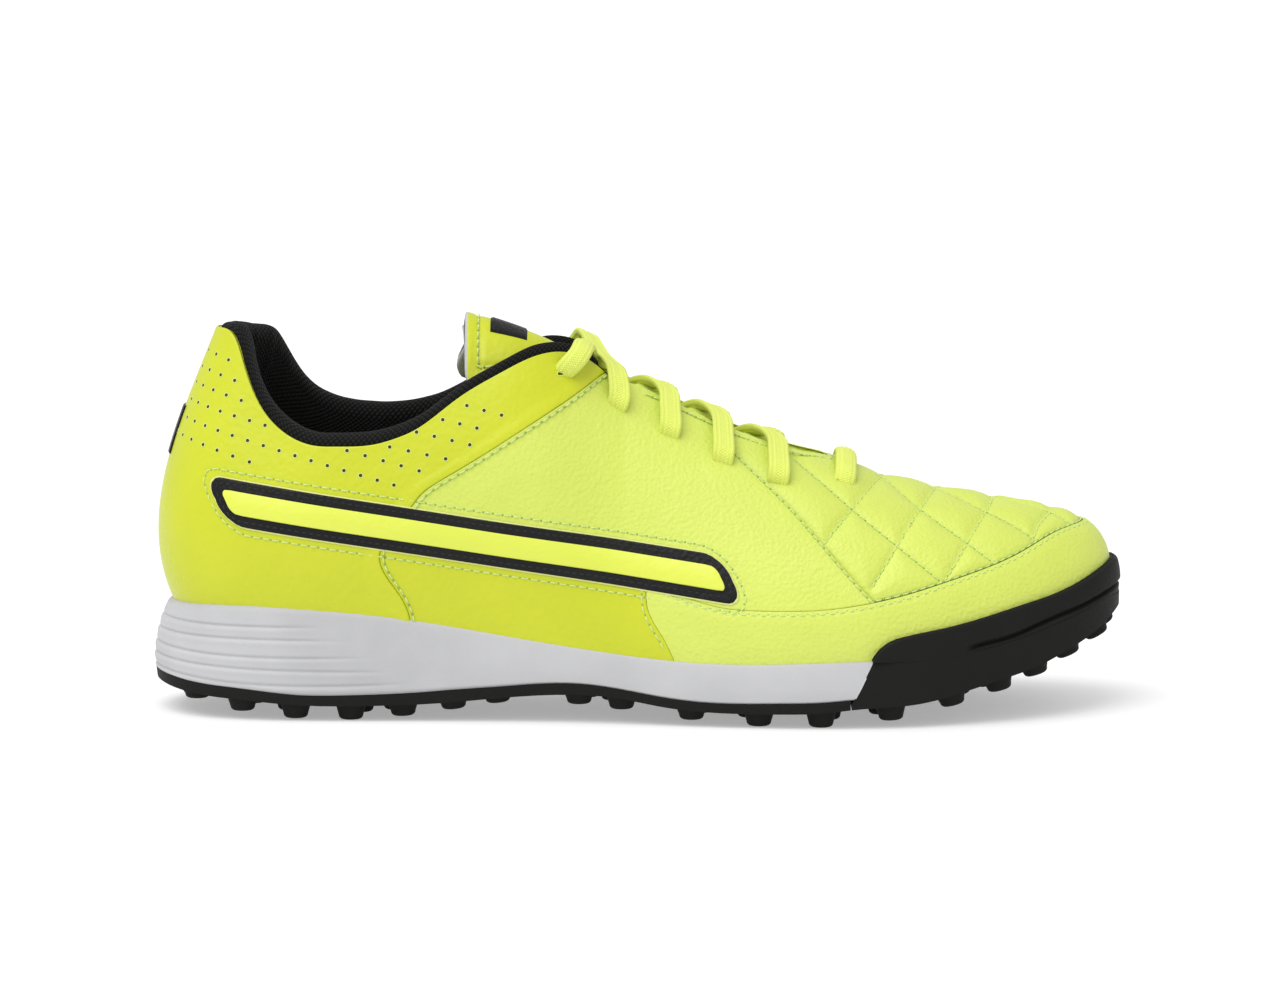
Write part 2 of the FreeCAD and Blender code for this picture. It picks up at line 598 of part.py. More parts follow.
def toe_wrap():
    """The rubber wall that climbs over the toe, thinning towards its top edge, and its foot below."""
    reach = solve(lambda u: ray(LATERAL * u)[0] - TOE_CAP_BACK, 0.05, 0.9)

    def top_v(s):
        return solve(lambda v: base(s, v)[2] - TOE_CAP_Z(base(s, v)[0]), -0.02, 0.6)

    outer, inner = [], []
    for i in range(49):
        s = -reach + 2 * reach * i / 48
        top, flare = top_v(s), FLARE(ray(s)[0])
        rows = [(v, flare) for v in (-0.06, -0.04, -0.02)]
        rows += [(top * j / 8, flare + (TOE_CAP_EDGE - flare) * j / 8) for j in range(9)]
        inner.append([skin(s, v, 0.2) for v, far in rows])
        outer.append([skin(s, v, far) for v, far in rows])
    return shell_solid(outer, inner)


def build_footbed():
    board = prism(lambda x: -0.6).common(slab(FOOTBED_Z, FOOTBED_Z, raise_low=0.1, raise_high=BOARD))
    sock = prism(lambda x: -SOCK_INSET(x)).common(
        slab(FOOTBED_Z, FOOTBED_Z, raise_low=BOARD + 0.4, raise_high=BOARD + 0.4 + SOCKLINER))
    return {"strobel_board": largest(board), "sockliner": largest(sock)}


# ---- upper --------------------------------------------------------------------------------------

def on_edge(side, u0, u1):
    """The leather's top edge from u0 to u1."""
    return lambda t: (side * (u0 + (u1 - u0) * t), edge_v(side * (u0 + (u1 - u0) * t)))


def along_low(side, u0, u1):
    """The upper's bottom line from u0 to u1."""
    return lambda t: (side * (u0 + (u1 - u0) * t), low_v(side * (u0 + (u1 - u0) * t)))


def seam(side, stations, first=None, last=None):
    """A seam through (x, z) stations on one side, with optional (s, v) ends."""
    points = [locate(side, x, z) for x, z in stations]
    points = [(side * u, v) for u, v in points]
    if first:
        points.insert(0, first)
    if last:
        points.append(last)
    return line(points)


def low_end(side, x):
    """The bottom line's point below the feather point at x."""
    u = solve(lambda t: ray(side * t)[0] - x, 0.02, 0.98)
    return side * u, low_v(side * u)


def edge_end(side, x):
    u = at_x(side, x)
    return side * u, edge_v(side * u)


def rand_line():
    """The rand's upper line round the toe, from the outer side to the inner side, as (s, v)."""
    half = {}
    for side in (LATERAL, MEDIAL):
        half[side] = [(side * u, v) for u, v in (locate(side, x, z) for x, z in RAND_TOP)]
    tip = solve(lambda v: base(0.0, v)[0] - RAND_TIP, 0.3, 0.99)
    return line([*half[LATERAL], (0.0, tip), *reversed(half[MEDIAL])])


def build_side(name, side):
    seam_top, edge_split = edge_end(side, HEEL_SEAM_TOP), edge_end(side, VAMP_SEAM_TOP)
    low_rear, low_front = low_end(side, HEEL_SEAM_FOOT), low_end(side, MID_SEAM_FOOT)
    heel_low = seam(side, HEEL_SEAM_LOW, first=low_rear)
    heel_high = seam(side, HEEL_SEAM, last=seam_top)
    whole = line([heel_low(t / 6) for t in range(6)] + [heel_high(t / 8) for t in range(9)])
    back = 0.9995
    heel = coons(along_low(side, back, abs(low_rear[0])), on_edge(side, back, abs(seam_top[0])),
                 line([(side * back, low_v(side)), (side * back, edge_v(side))]), whole)
    mid_front = seam(side, MID_SEAM_LOW, first=low_front)
    middle = coons(along_low(side, abs(low_rear[0]), abs(low_front[0])), seam(side, MID_TOP),
                   heel_low, mid_front)
    quarter_low = seam(side, MID_TOP[:-1] + QUARTER_LOW)
    front = seam(side, VAMP_SEAM, last=edge_split)
    quarter = coons(quarter_low, on_edge(side, abs(seam_top[0]), abs(edge_split[0])), heel_high, front)
    made = {
        f"heel_panel_{name}": layer(trimmed(heel, 0.001, 0.001), LEATHER, 40, 20),
        f"midfoot_panel_{name}": layer(trimmed(middle, 0.002, 0.005), LEATHER, 24, 8),
        f"quarter_{name}": layer(trimmed(quarter, 0.002, 0.003), LEATHER, 36, 20),
    }
    c = [(side * u, v) for u, v in (locate(side, x, z) for x, z in BAND)]
    top, low = line_between(side, BAND[0], BAND[1]), line_between(side, BAND[3], BAND[2])
    bar = coons(low, top, line([c[3], c[0]]), line([c[2], c[1]]))
    length = math.hypot(BAND[1][0] - BAND[0][0], BAND[1][1] - BAND[0][1])
    inset = (BAND_BORDER / length, BAND_BORDER / (BAND[0][1] - BAND[3][1]))
    made[f"side_band_trim_{name}"] = layer(bar, (0.08, 0.78), 40, 6)
    made[f"side_band_{name}"] = layer(trimmed(bar, *inset), (0.86, 1.56), 40, 6)
    top_u, front_u = at_x(side, THROAT_BACK), at_x(side, EYESTAY_FRONT)

    def stay(a, b):
        u = top_u + (front_u - top_u) * a
        top = drop(side * u, edge_v(side * u), 0.8)
        low = drop(side * u, edge_v(side * u), 19.0)
        return side * u, low + (top - low) * b
    made[f"eyestay_reinforcement_{name}"] = layer(stay, STIFFENER, 36, 6)
    return made


def line_between(side, a, b, count=12):
    """A line that is straight in the side view."""
    places = [locate(side, a[0] + (b[0] - a[0]) * i / count, a[1] + (b[1] - a[1]) * i / count)
              for i in range(count + 1)]
    return line([(side * u, v) for u, v in places])


def build_rand():
    """The mudguard: the leather strip round the toe between the sole and the double stitching."""
    sides = {}
    for side in (LATERAL, MEDIAL):
        sides[side] = [(side * u, v) for u, v in (locate(side, x, z) for x, z in QUARTER_LOW[:-1])]
    loop = rand_line()
    toe = [loop(i / 24) for i in range(25)]
    over = line(sides[LATERAL] + toe + list(reversed(sides[MEDIAL])))
    feet = low_end(LATERAL, MID_SEAM_FOOT), low_end(MEDIAL, MID_SEAM_FOOT)
    left = seam(LATERAL, MID_SEAM_LOW, first=feet[0])
    right = seam(MEDIAL, MID_SEAM_LOW, first=feet[1])

    def under(t):
        s = feet[0][0] + (feet[1][0] - feet[0][0]) * t
        return s, low_v(s)
    return layer(trimmed(coons(under, over, left, right), 0.001, 0.006), LEATHER, 90, 8)


def build_vamp():
    """The quilted toe piece: two wings beside the throat and the front, drawn in the unrolled plan."""
    loop = rand_line()
    outer = line([plan(*loop(i / 40)) for i in range(41)])
    wings = {}
    for side in (LATERAL, MEDIAL):
        rise = seam(side, VAMP_SEAM, last=edge_end(side, VAMP_SEAM_TOP))
        wings[side] = line([plan(*rise(i / 12)) for i in range(13)])
    rim = []
    first, last = abs(edge_end(LATERAL, VAMP_SEAM_TOP)[0]), abs(edge_end(MEDIAL, VAMP_SEAM_TOP)[0])
    nose = solve(lambda u: ray(u)[1] - THROAT_FRONT, 0.05, 0.9)
    for i in range(13):
        u = first + (nose - first) * i / 12
        rim.append(plan(LATERAL * u, min(edge_v(LATERAL * u), 1.0)))
    for i in range(12, -1, -1):
        u = last + (nose - last) * i / 12
        rim.append(plan(u, min(edge_v(u), 1.0)))
    rim = [p for i, p in enumerate(rim) if i == 0 or math.dist(p, rim[i - 1]) > 0.3]
    notch = line(rim)
    share = 0.3

    def inner(t):
        if t < share:
            return wings[LATERAL](t / share)
        if t > 1 - share:
            return wings[MEDIAL]((1 - t) / share)
        return notch((t - share) / (1 - 2 * share))

    def at(a, b):
        t = 0.012 + 0.976 * a
        p, q = outer(t), inner(t)
        w = 0.006 + 0.988 * b
        return from_plan((p[0] + (q[0] - p[0]) * w, p[1] + (q[1] - p[1]) * w))

    patches = []
    for a0, a1, count, walls in ((0.0, share, 18, (True, False, True, True)),
                                 (share, 1 - share, 36, (False, False, True, True)),
                                 (1 - share, 1.0, 18, (False, True, True, True))):
        lo, hi = max((a0 - 0.012) / 0.976, 0.0), min((a1 - 0.012) / 0.976, 1.0)
        places = [[at(lo + (hi - lo) * i / count, j / 14) for j in range(15)] for i in range(count + 1)]
        outer_grid, inner_grid = [[[skin(*p, off) for p in row] for row in places]
                                  for off in reversed(LEATHER)]
        patches.append((outer_grid, inner_grid, walls))
    return sewn_solid(patches)


def build_linings():
    made = {}
    first, last = at_x(LATERAL, THROAT_BACK), at_x(MEDIAL, THROAT_BACK)

    def fore(a, b):
        s = -first + (first + last) * a
        top = min(drop(s, edge_v(s), 1.0), 0.985)
        return s, low_v(s) + 0.004 + (top - low_v(s) - 0.004) * b
    made["forefoot_lining"] = layer(fore, LINING, 80, 16)

    def rear_loop(a):
        """From the outer side round the heel to the inner side."""
        return -(first + 0.004) - (2 - first - last - 0.008) * a

    def heel(a, b):
        s = rear_loop(a)
        top = drop(s, edge_v(s), COLLAR_DEPTH + 1.5)
        return s, low_v(s) + 0.004 + (top - low_v(s) - 0.004) * b
    made["heel_lining"] = layer(heel, LINING, 72, 10)

    def frame(s):
        v = edge_v(s)
        p, n = base(s, v), normal(s, v)
        up = unit(minus(base(s, min(v + 0.01, 1.0)), base(s, v - 0.01)))
        return v, p, n, up

    def rim_point(s, height, off):
        """A point of the collar: height above the leather's edge along the skin, off outwards."""
        v, p, n, up = frame(s)
        if height <= 0:
            return skin(s, drop(s, v, -height), off)
        return plus(plus(p, up, height), n, off)

    def depth(x, height):
        """How far in the collar's inner face lies at a height: full padding above, none at its hem."""
        full, hem = -1.58 - PAD(x), LINING[0]
        return full + (hem - full) * smooth((-14 - height) / 14)

    def section(s, inset):
        """The collar roll's outline from outside, over the top and down the inside, drawn in by inset."""
        x = base(s, edge_v(s))[0]
        out, deep, rise = -1.58 - inset, depth(x, 0) + inset, ROLL(x) - inset
        points = [(-3.6, out), (-2.4, out), (-1.2, out)]
        for i in range(9):
            turn = math.pi * i / 8
            points.append((rise * math.sin(turn), (out + deep) / 2 + (out - deep) / 2 * math.cos(turn)))
        points += [(h, depth(x, h) + inset) for h in (-3, -7, -12, -16, -20, -24, -27, -COLLAR_DEPTH)]
        return [rim_point(s, h, o) for h, o in points]

    count = 72
    outside = [section(rear_loop(i / count), 0.0) for i in range(count + 1)]
    inside = [section(rear_loop(i / count), MESH) for i in range(count + 1)]
    made["collar_lining"] = shell_solid(outside, inside)

    def padding(s):
        """The foam's two faces at s, from its hem up to the roll's top: behind the leather, and inside."""
        x = base(s, edge_v(s))[0]
        gap = MESH + 0.14
        out, deep, rise = -1.58 - gap, depth(x, 0) + gap, ROLL(x) - gap
        mid = (out + deep) / 2
        left = [(h, -1.64) for h in (-26, -20, -14, -9, -5.2, -4.6)] + [(-4.2, out), (-2, out), (0, out)]
        right = [(h, min(depth(x, h) + gap, out - 0.3))
                 for h in (-26, -20, -14, -9, -5.2, -4.6, -4.2, -2, 0)]
        for i in range(1, 5):
            turn = math.pi / 2 * i / 4.4
            left.append((rise * math.sin(turn), mid + (out - mid) * math.cos(turn)))
            right.append((rise * math.sin(turn), mid + (min(deep, out - 0.3) - mid) * math.cos(turn)))
        return [rim_point(s, h, o) for h, o in left], [rim_point(s, h, o) for h, o in right]
    pairs = [padding(rear_loop(0.01 + 0.98 * i / count)) for i in range(count + 1)]
    made["collar_foam"] = shell_solid([p[0] for p in pairs], [p[1] for p in pairs])
    return made


def build_stiffeners():
    def counter(a, b):
        s = -0.80 - 0.40 * a
        tall = 0.50 - 0.16 * abs(2 * a - 1) ** 3
        return s, low_v(s) + 0.004 + (tall - low_v(s)) * b

    def puff(a, b):
        s = -0.16 + 0.32 * a
        tall = 0.42 - 0.1 * abs(2 * a - 1) ** 2
        return s, low_v(s) + 0.004 + (tall - low_v(s)) * b

    def patch(a, b):
        s = -0.9745 - 0.051 * a
        return s, 0.51 + 0.165 * b
    return {
        "heel_counter": layer(counter, STIFFENER, 40, 10),
        "toe_puff": layer(puff, STIFFENER, 30, 8),
        "heel_patch": layer(patch, (0.08, 0.8), 12, 8),
    }


# ---- tongue and lace ----------------------------------------------------------------------------

def tongue_point(x, across, off):
    """A point of the tongue: across runs from -1 to 1 over its width, off is along its own normal."""
    def face(px, py):
        return TONGUE_Z(px) - TONGUE_DROP(px) * (py / 25) ** 2
    y = across * TONGUE_HALF(x)
    e = 0.01
    slope_x, slope_y = face(x + e, y) - face(x - e, y), face(x, y + e) - face(x, y - e)
    n = unit((-slope_x / (2 * e), -slope_y / (2 * e), 1.0))
    return plus((x, y + SPINE_Y(x) + TONGUE_SHIFT(x), face(x, y)), n, off)


def tongue_piece(x0, x1, layers, shrink=1.0):
    """One layer of the tongue. Its thickness fades towards the edges of the padding."""
    grids = []
    for off in layers:
        rows = []
        for i in range(25):
            x = x0 + (x1 - x0) * i / 24
            row = []
            for j in range(17):
                across = shrink * (-1 + j / 8)
                fade = 1 - 0.55 * abs(across) ** 4
                row.append(tongue_point(x, across, off * fade))
            rows.append(row)
        grids.append(rows)
    return shell_solid(grids[1], grids[0])


def build_tongue():
    made = {}
    for name, layers in TONGUE_LAYERS.items():
        made[f"tongue_{name}"] = tongue_piece(TONGUE_HINGE + 0.3, TONGUE_FRONT, layers)
        made[f"tongue_top_{name}"] = tongue_piece(TONGUE_REAR, TONGUE_HINGE - 0.3, layers)
    made["tongue_badge"] = tongue_piece(-44.0, -33.0, (0.08, 0.7), 0.42)
    return made


def skin_place(side, x, z):
    u, v = locate(side, x, z)
    return side * u, v


def ribbon(points, width, thick, steps=36):
    """A flat strap along a smooth line through points, its width lying along the eyestays."""
    path = line(points)
    top, low = [], []
    for i in range(steps + 1):
        t = i / steps
        p = path(t)
        along = unit(minus(path(min(t + 0.01, 1)), path(max(t - 0.01, 0))))
        stay = unit((1.0, 0.0, TOP_Z[LATERAL].slope(p[0])))
        side = unit(plus(stay, along, -sum(stay[k] * along[k] for k in range(3))))
        up = unit(cross(side, along))
        rows = [plus(p, side, width * (j / 6 - 0.5)) for j in range(7)]
        fat = [thick / 2 * (1 - 0.55 * abs(j / 3 - 1) ** 4) for j in range(7)]
        top.append([plus(q, up, f) for q, f in zip(rows, fat)])
        low.append([plus(q, up, -f) for q, f in zip(rows, fat)])
    return shell_solid(top, low)


def lace_pieces():
    """The lace's straps: a straight bar over the first row, then two crossings between each two rows."""
    half = LACE_THICK / 2
    rows = {side: [skin_place(side, x, z) for x, z in EYELETS] for side in (LATERAL, MEDIAL)}
    start, end = rows[LATERAL][0], rows[MEDIAL][0]
    a, b = plan(*start), plan(*end)
    over = [from_plan((a[0] + (b[0] - a[0]) * k, a[1] + (b[1] - a[1]) * k))
            for k in (0.14, 0.32, 0.5, 0.68, 0.86)]
    points = [skin(*start, -4.4), skin(*start, -1.2)]
    points += [skin(*p, half + 0.5) for p in over]
    points += [skin(*end, -1.2), skin(*end, -4.4)]
    pieces = [ribbon(points, LACE_WIDTH, LACE_THICK)]
    for row in range(2, len(EYELETS)):
        for side in (LATERAL, MEDIAL):
            pieces.append(crossing(rows, row, side))
    return pieces


def crossing(rows, row, side):
    """One strap, from a row on one side to the next row down on the other side, over the tongue.

    It comes up from inside, under its eyestay, but from the last row it comes over the eyestay.
    """
    far, half = -side, LACE_THICK / 2
    lift = LACE_UNDER if side == LATERAL else LACE_OVER
    a, b = rows[side][row], rows[far][row - 1]
    xa, xb = EYELETS[row][0], EYELETS[row - 1][0]

    def over_edge(side, place, share):
        """Points from an eyelet up its eyestay and over the leather's edge."""
        edge = edge_end(side, xa + share * (xb - xa))
        middle = (edge[0] + place[0]) / 2, (edge[1] + place[1]) / 2
        return [skin(*place, -2.0), skin(place[0], place[1] + 0.015, half), skin(*middle, half + 0.6),
                skin(*edge, half + 0.8)]

    if row == len(EYELETS) - 1:
        points = over_edge(side, a, 0.2)
    else:
        points = [skin(*a, -5.2), skin(*edge_end(side, xa + 0.35 * (xb - xa)), -4.6)]
    points.append(tongue_point(xa + 0.5 * (xb - xa), 0.0, lift + half))
    points += reversed(over_edge(far, b, 0.92))
    return ribbon(points, LACE_WIDTH, LACE_THICK)


def slits():
    """The cutters for the eyelet slits, square to the skin and along the eyestay."""
    made = []
    for side in (LATERAL, MEDIAL):
        for x, z in EYELETS:
            s, v = skin_place(side, x, z)
            p, n = base(s, v), normal(s, v)
            along = unit(minus(base(s - side * 0.01, v), base(s + side * 0.01, v)))
            up = unit(cross(n, along))
            box = Part.makeBox(SLIT_LENGTH, SLIT_WIDTH, 16, Vec(-SLIT_LENGTH / 2, -SLIT_WIDTH / 2, -13))
            turn = FreeCAD.Matrix(along[0], up[0], n[0], p[0], along[1], up[1], n[1], p[1],
                                  along[2], up[2], n[2], p[2], 0, 0, 0, 1)
            made.append(box.transformGeometry(turn))
    return made


# ---- assembly -----------------------------------------------------------------------------------

# Moves the finished shoe so that the origin lies under the middle of its box.
CENTRING = Vec(-0.4, 1.45, 0)
SLIT_NODES = ("quarter_", "vamp", "eyestay_", "forefoot_lining", "collar_", "heel_panel_")


def main():
    nodes = {}
    nodes.update(build_sole())
    nodes.update(build_footbed())
    for name, side in SIDES.items():
        nodes.update(build_side(name, side))
    nodes["rand"] = build_rand()
    nodes["vamp"] = build_vamp()
    nodes.update(build_linings())
    nodes.update(build_stiffeners())
    nodes.update(build_tongue())
    cutters = slits()
    for node, shape in nodes.items():
        if node.startswith(SLIT_NODES):
            near = [c for c in cutters if shape.BoundBox.intersect(c.BoundBox)]
            nodes[node] = shape.cut(near) if near else shape
    nodes["lace"] = Part.makeCompound(lace_pieces())
    os.makedirs("parts", exist_ok=True)
    for node, shape in nodes.items():
        shape.translate(CENTRING)
        shape.exportStep(f"parts/{node}.step")
        box = shape.BoundBox
        print(f"{node:32s} solids {len(shape.Solids)} valid {shape.isValid()} volume {shape.Volume:9.0f}"
              f"  x {box.XMin:7.1f} {box.XMax:7.1f}  y {box.YMin:6.1f} {box.YMax:6.1f}"
              f"  z {box.ZMin:6.1f} {box.ZMax:6.1f}")


main()
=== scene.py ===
import math

import bpy
import numpy as np
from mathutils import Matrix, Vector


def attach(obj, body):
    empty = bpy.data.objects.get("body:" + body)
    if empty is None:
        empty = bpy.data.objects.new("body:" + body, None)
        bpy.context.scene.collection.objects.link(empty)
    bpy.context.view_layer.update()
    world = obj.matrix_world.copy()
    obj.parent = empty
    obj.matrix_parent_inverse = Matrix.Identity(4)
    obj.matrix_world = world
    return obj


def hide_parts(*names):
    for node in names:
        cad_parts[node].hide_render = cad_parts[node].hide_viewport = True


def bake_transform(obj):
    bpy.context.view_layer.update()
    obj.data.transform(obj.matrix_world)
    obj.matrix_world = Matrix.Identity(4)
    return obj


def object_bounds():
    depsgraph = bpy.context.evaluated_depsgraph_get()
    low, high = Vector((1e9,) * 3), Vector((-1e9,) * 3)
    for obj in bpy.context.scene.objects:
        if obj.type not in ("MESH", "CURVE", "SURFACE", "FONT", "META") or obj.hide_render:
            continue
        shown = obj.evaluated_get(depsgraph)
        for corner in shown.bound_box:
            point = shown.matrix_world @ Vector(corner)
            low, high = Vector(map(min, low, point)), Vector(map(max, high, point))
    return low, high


# A right-foot turf soccer shoe around its CAD frame. Shapes are worked out in millimetres, with the
# sole's plan centred on its own spine, and moved by CENTRING and scaled to metres when a mesh is made.
#
# The upper's outer skin is one smooth form over two numbers: s runs round the shoe from the heel along
# the outer side (s < 0), through the toe tip (s = 0) and back along the inner side (s > 0); v runs up
# from the feather line, where upper and sole meet (v = 0), to the ridge (v = 1).

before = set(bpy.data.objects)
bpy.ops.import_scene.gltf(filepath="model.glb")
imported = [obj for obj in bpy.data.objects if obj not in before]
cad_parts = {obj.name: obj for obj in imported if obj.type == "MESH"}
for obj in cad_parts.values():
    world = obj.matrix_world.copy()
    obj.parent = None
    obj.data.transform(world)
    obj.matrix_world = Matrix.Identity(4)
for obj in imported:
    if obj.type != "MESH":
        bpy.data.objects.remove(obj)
cad_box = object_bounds()

MM = 0.001
CENTRING = np.array([-0.4, 1.45, 0.0])
LATERAL, MEDIAL = -1, 1
SIDES = {"lateral": LATERAL, "medial": MEDIAL}
BOTH = (LATERAL, MEDIAL)


class Curve:
    """A smooth curve y(x) through stations: a natural cubic spline, held flat past its ends."""

    def __init__(self, *stations):
        self.x, self.y = np.array(stations, float).T
        n = len(self.x)
        h, rise = np.diff(self.x), np.diff(self.y)
        matrix, right = np.eye(n), np.zeros(n)
        for i in range(1, n - 1):
            matrix[i, i - 1:i + 2] = h[i - 1], 2 * (h[i - 1] + h[i]), h[i]
            right[i] = 6 * (rise[i] / h[i] - rise[i - 1] / h[i - 1])
        self.m = np.linalg.solve(matrix, right)

    def _span(self, x):
        x = np.clip(x, self.x[0], self.x[-1])
        i = np.clip(np.searchsorted(self.x, x) - 1, 0, len(self.x) - 2)
        h = self.x[i + 1] - self.x[i]
        return i, h, (self.x[i + 1] - x) / h, (x - self.x[i]) / h

    def __call__(self, x):
        i, h, a, b = self._span(x)
        bend = (a**3 - a) * self.m[i] + (b**3 - b) * self.m[i + 1]
        return a * self.y[i] + b * self.y[i + 1] + bend * h * h / 6

    def slope(self, x):
        i, h, a, b = self._span(x)
        bend = (3 * b * b - 1) * self.m[i + 1] - (3 * a * a - 1) * self.m[i]
        return (self.y[i + 1] - self.y[i]) / h + bend * h / 6


# ---- driving dimensions, as in the CAD part -----------------------------------------------------

MID_X, HALF_LENGTH = 0.7, 141.3
SPINE_SHARE = 0.80
SPINE_Y = Curve((-141, 0), (-60, 0), (20, 0.5), (50, 1.5), (75, 3), (100, 5), (120, 6.5), (143, 8))
HALF_WIDTH = {
    LATERAL: Curve((-140.6, 70), (-115, 54), (-95, 45.9), (-70, 39.8), (-40, 37.6), (-10, 39.6),
                   (20, 46.4), (50, 53.9), (75, 59.4), (100, 62.6), (120, 64.4), (142, 66)),
    MEDIAL: Curve((-140.6, 70), (-115, 51.4), (-95, 43.5), (-70, 35.2), (-40, 30.8), (-10, 32.6),
                  (20, 38.4), (50, 45.9), (75, 50.5), (100, 54.8), (120, 57.8), (142, 66)),
}
FEATHER_Z = Curve((-140.6, 33.5), (-120, 34.8), (-100, 34.3), (-78, 32.6), (-53, 29), (-29, 24.8),
                  (-5, 21.4), (19, 19.5), (43, 19.6), (64, 20.3), (90, 21), (110, 24), (128, 29.2), (142, 34))
BULGE = Curve((-140.6, 11.9), (-125, 8), (-105, 5), (-75, 4), (-30, 3), (20, 3.5), (60, 4.5), (100, 6),
              (142, 8.1))
RISE = Curve((-140.6, 27), (-110, 26), (-75, 27), (-30, 29), (20, 26), (60, 23), (100, 21), (142, 21.5))
TOP_SHARE = Curve((-140.6, 0.45), (-130, 0.54), (-115, 0.72), (-95, 0.85), (-75, 0.84), (-55, 0.78),
                  (-40, 0.66), (-28, 0.45), (-14, 0.12), (-4, 0.0), (20, 0.0), (142, 0.0))
RIDGE = ((-55, 101), (-40, 109.5), (-28, 112.5), (-14, 108.6), (1, 100.4), (16, 94.0), (31, 88.2),
         (46, 82.8), (61, 78.3), (72, 75.3), (84, 72.0), (115, 66.0), (142, 62.5))
TOP_Z = {
    LATERAL: Curve((-140.6, 119.5), (-130, 115), (-115, 98), (-95, 89), (-75, 91), *RIDGE),
    MEDIAL: Curve((-140.6, 119.5), (-130, 116.5), (-120, 111.5), (-115, 106.5), (-108, 99.5), (-95, 92.5),
                  (-85, 90.5), (-75, 91), *RIDGE),
}
TOP_LEAN = Curve((-140.6, 69), (-115, 76), (-75, 78), (-55, 70), (-40, 55), (-28, 38), (-14, 12), (0, 0),
                 (20, 0), (142, 0))
TOP_REACH = Curve((-140.6, 30), (-115, 24), (-75, 20), (-40, 20), (0, 22), (40, 23), (84, 24), (115, 20),
                  (142, 14))
COLLAR_Z = {
    LATERAL: Curve((-128, 115.4), (-125.5, 115.4), (-120, 111.4), (-117, 103), (-114, 96), (-108, 88),
                   (-102, 84), (-96, 82.2), (-90, 82), (-78, 82.7), (-72, 84.4), (-66, 87), (-53.5, 96.2),
                   (-41, 103.6), (-29, 108.8), (-22, 109.2), (-14, 106.4), (-9, 103.2), (0, 98)),
    MEDIAL: Curve((-128, 115.4), (-125.5, 115.2), (-119.4, 112.4), (-111.5, 107.0), (-103, 95.4),
                  (-93, 88.5), (-81, 86.3), (-66.5, 87.3), (-55.3, 91.5), (-41, 101), (-29, 107.5),
                  (-22, 108.5), (-14, 106), (-9, 103.2), (0, 98)),
}
THROAT_Y = Curve((-16, 19), (-9, 13.2), (0, 8.8), (8, 7.6), (23, 8.7), (33, 9.6), (44, 8.8), (50, 7),
                 (54, 4.6), (56.5, 0.0))
THROAT_BACK, THROAT_FRONT = -9.0, 56.5

JOINT_Z = Curve((-147, 13.2), (-138, 11.5), (-132, 10.7), (-120, 9.8), (-102, 8.0), (-90, 7.8),
                (-78, 8.1), (-66, 8.7), (-54, 9.7), (-41, 10.7), (-29, 11.7), (-17, 11.9), (-5, 10.6),
                (7, 8.7), (19, 7.5), (43, 7.6), (55, 8.0), (65, 8.9), (85, 10.4), (98, 13.2),
                (111, 16.6), (122, 20), (128, 22.6), (137, 26.9), (148, 34))
FOOTBED_Z = Curve((-147, 24.6), (-110, 23.5), (-60, 21), (-20, 18), (20, 14.2), (50, 13.6), (80, 15),
                  (98, 17.4), (111, 20.4), (122, 23.8), (130, 26.8), (137, 29.7), (148, 35.4))
BOARD = 1.5
FLARE = Curve((-141, 5.4), (-125, 4.2), (-100, 2.7), (50, 2.5), (100, 3.3), (142, 4.7))
WALL = Curve((-0.4, 0.05), (0, 0.12), (0.15, 0.4), (0.3, 0.63), (0.55, 0.88), (0.8, 1.0), (1.0, 0.95),
             (1.3, 0.8))

HEEL_SEAM = ((-73, 57.5), (-66, 65.8), (-59.6, 71.5), (-47.2, 78.9), (-34.8, 86.7), (-22.7, 94.1))
HEEL_SEAM_LOW = ((-69.5, 36), (-73.8, 42.4), (-76.5, 48.4), (-75.5, 53.5), (-73, 57.5))
MID_SEAM_LOW = ((7.6, 26.6), (3.6, 33.7), (3.0, 42.0))
MID_TOP = ((-73, 57.5), (-45, 52.5), (-20, 47.4), (3.0, 42.0))
QUARTER_LOW = ((3.0, 42.0), (14, 38.6), (26, 35.4), (37.2, 34.8), (52, 35), (70.7, 37.3))
RAND_TOP = ((70.7, 37.3), (80, 39.2), (90.4, 41.9), (101, 44.8), (110.6, 47.8), (118.8, 51.2), (127.5, 54.6))
RAND_TIP = 135.6
VAMP_SEAM = ((70.7, 37.3), (60.5, 48.2), (49, 61), (39.9, 69.8), (29.6, 79.2))
VAMP_SEAM_TOP, HEEL_SEAM_TOP = 23.5, -9.5
# The side band's upper rear, upper front and lower rear corners.
BAND = ((-129, 73.0), (25, 50.5), (-122, 58.5))
BAND_BORDER = 3.3
EYELETS = ((62.3, 69.9), (42.3, 70.9), (25.7, 76.8), (9.7, 84.5), (-6.0, 93.0), (-21.5, 103.0))


# ---- the form -----------------------------------------------------------------------------------

def smooth(x):
    x = np.clip(x, 0.0, 1.0)
    return x * x * (3 - 2 * x)


def ray(s):
    """The feather point, the spine point it is seen from, and the direction and length between them."""
    s = (np.asarray(s, float) + 1) % 2 - 1
    a = math.pi * np.abs(s)
    x = MID_X + HALF_LENGTH * np.cos(a)
    half = np.where(s >= 0, HALF_WIDTH[MEDIAL](x), -HALF_WIDTH[LATERAL](x))
    y = SPINE_Y(x) + np.sin(a) * half
    cx = MID_X + SPINE_SHARE * (x - MID_X)
    cy = SPINE_Y(cx)
    r = np.hypot(x - cx, y - cy)
    return x, cx, cy, (x - cx) / r, (y - cy) / r, r


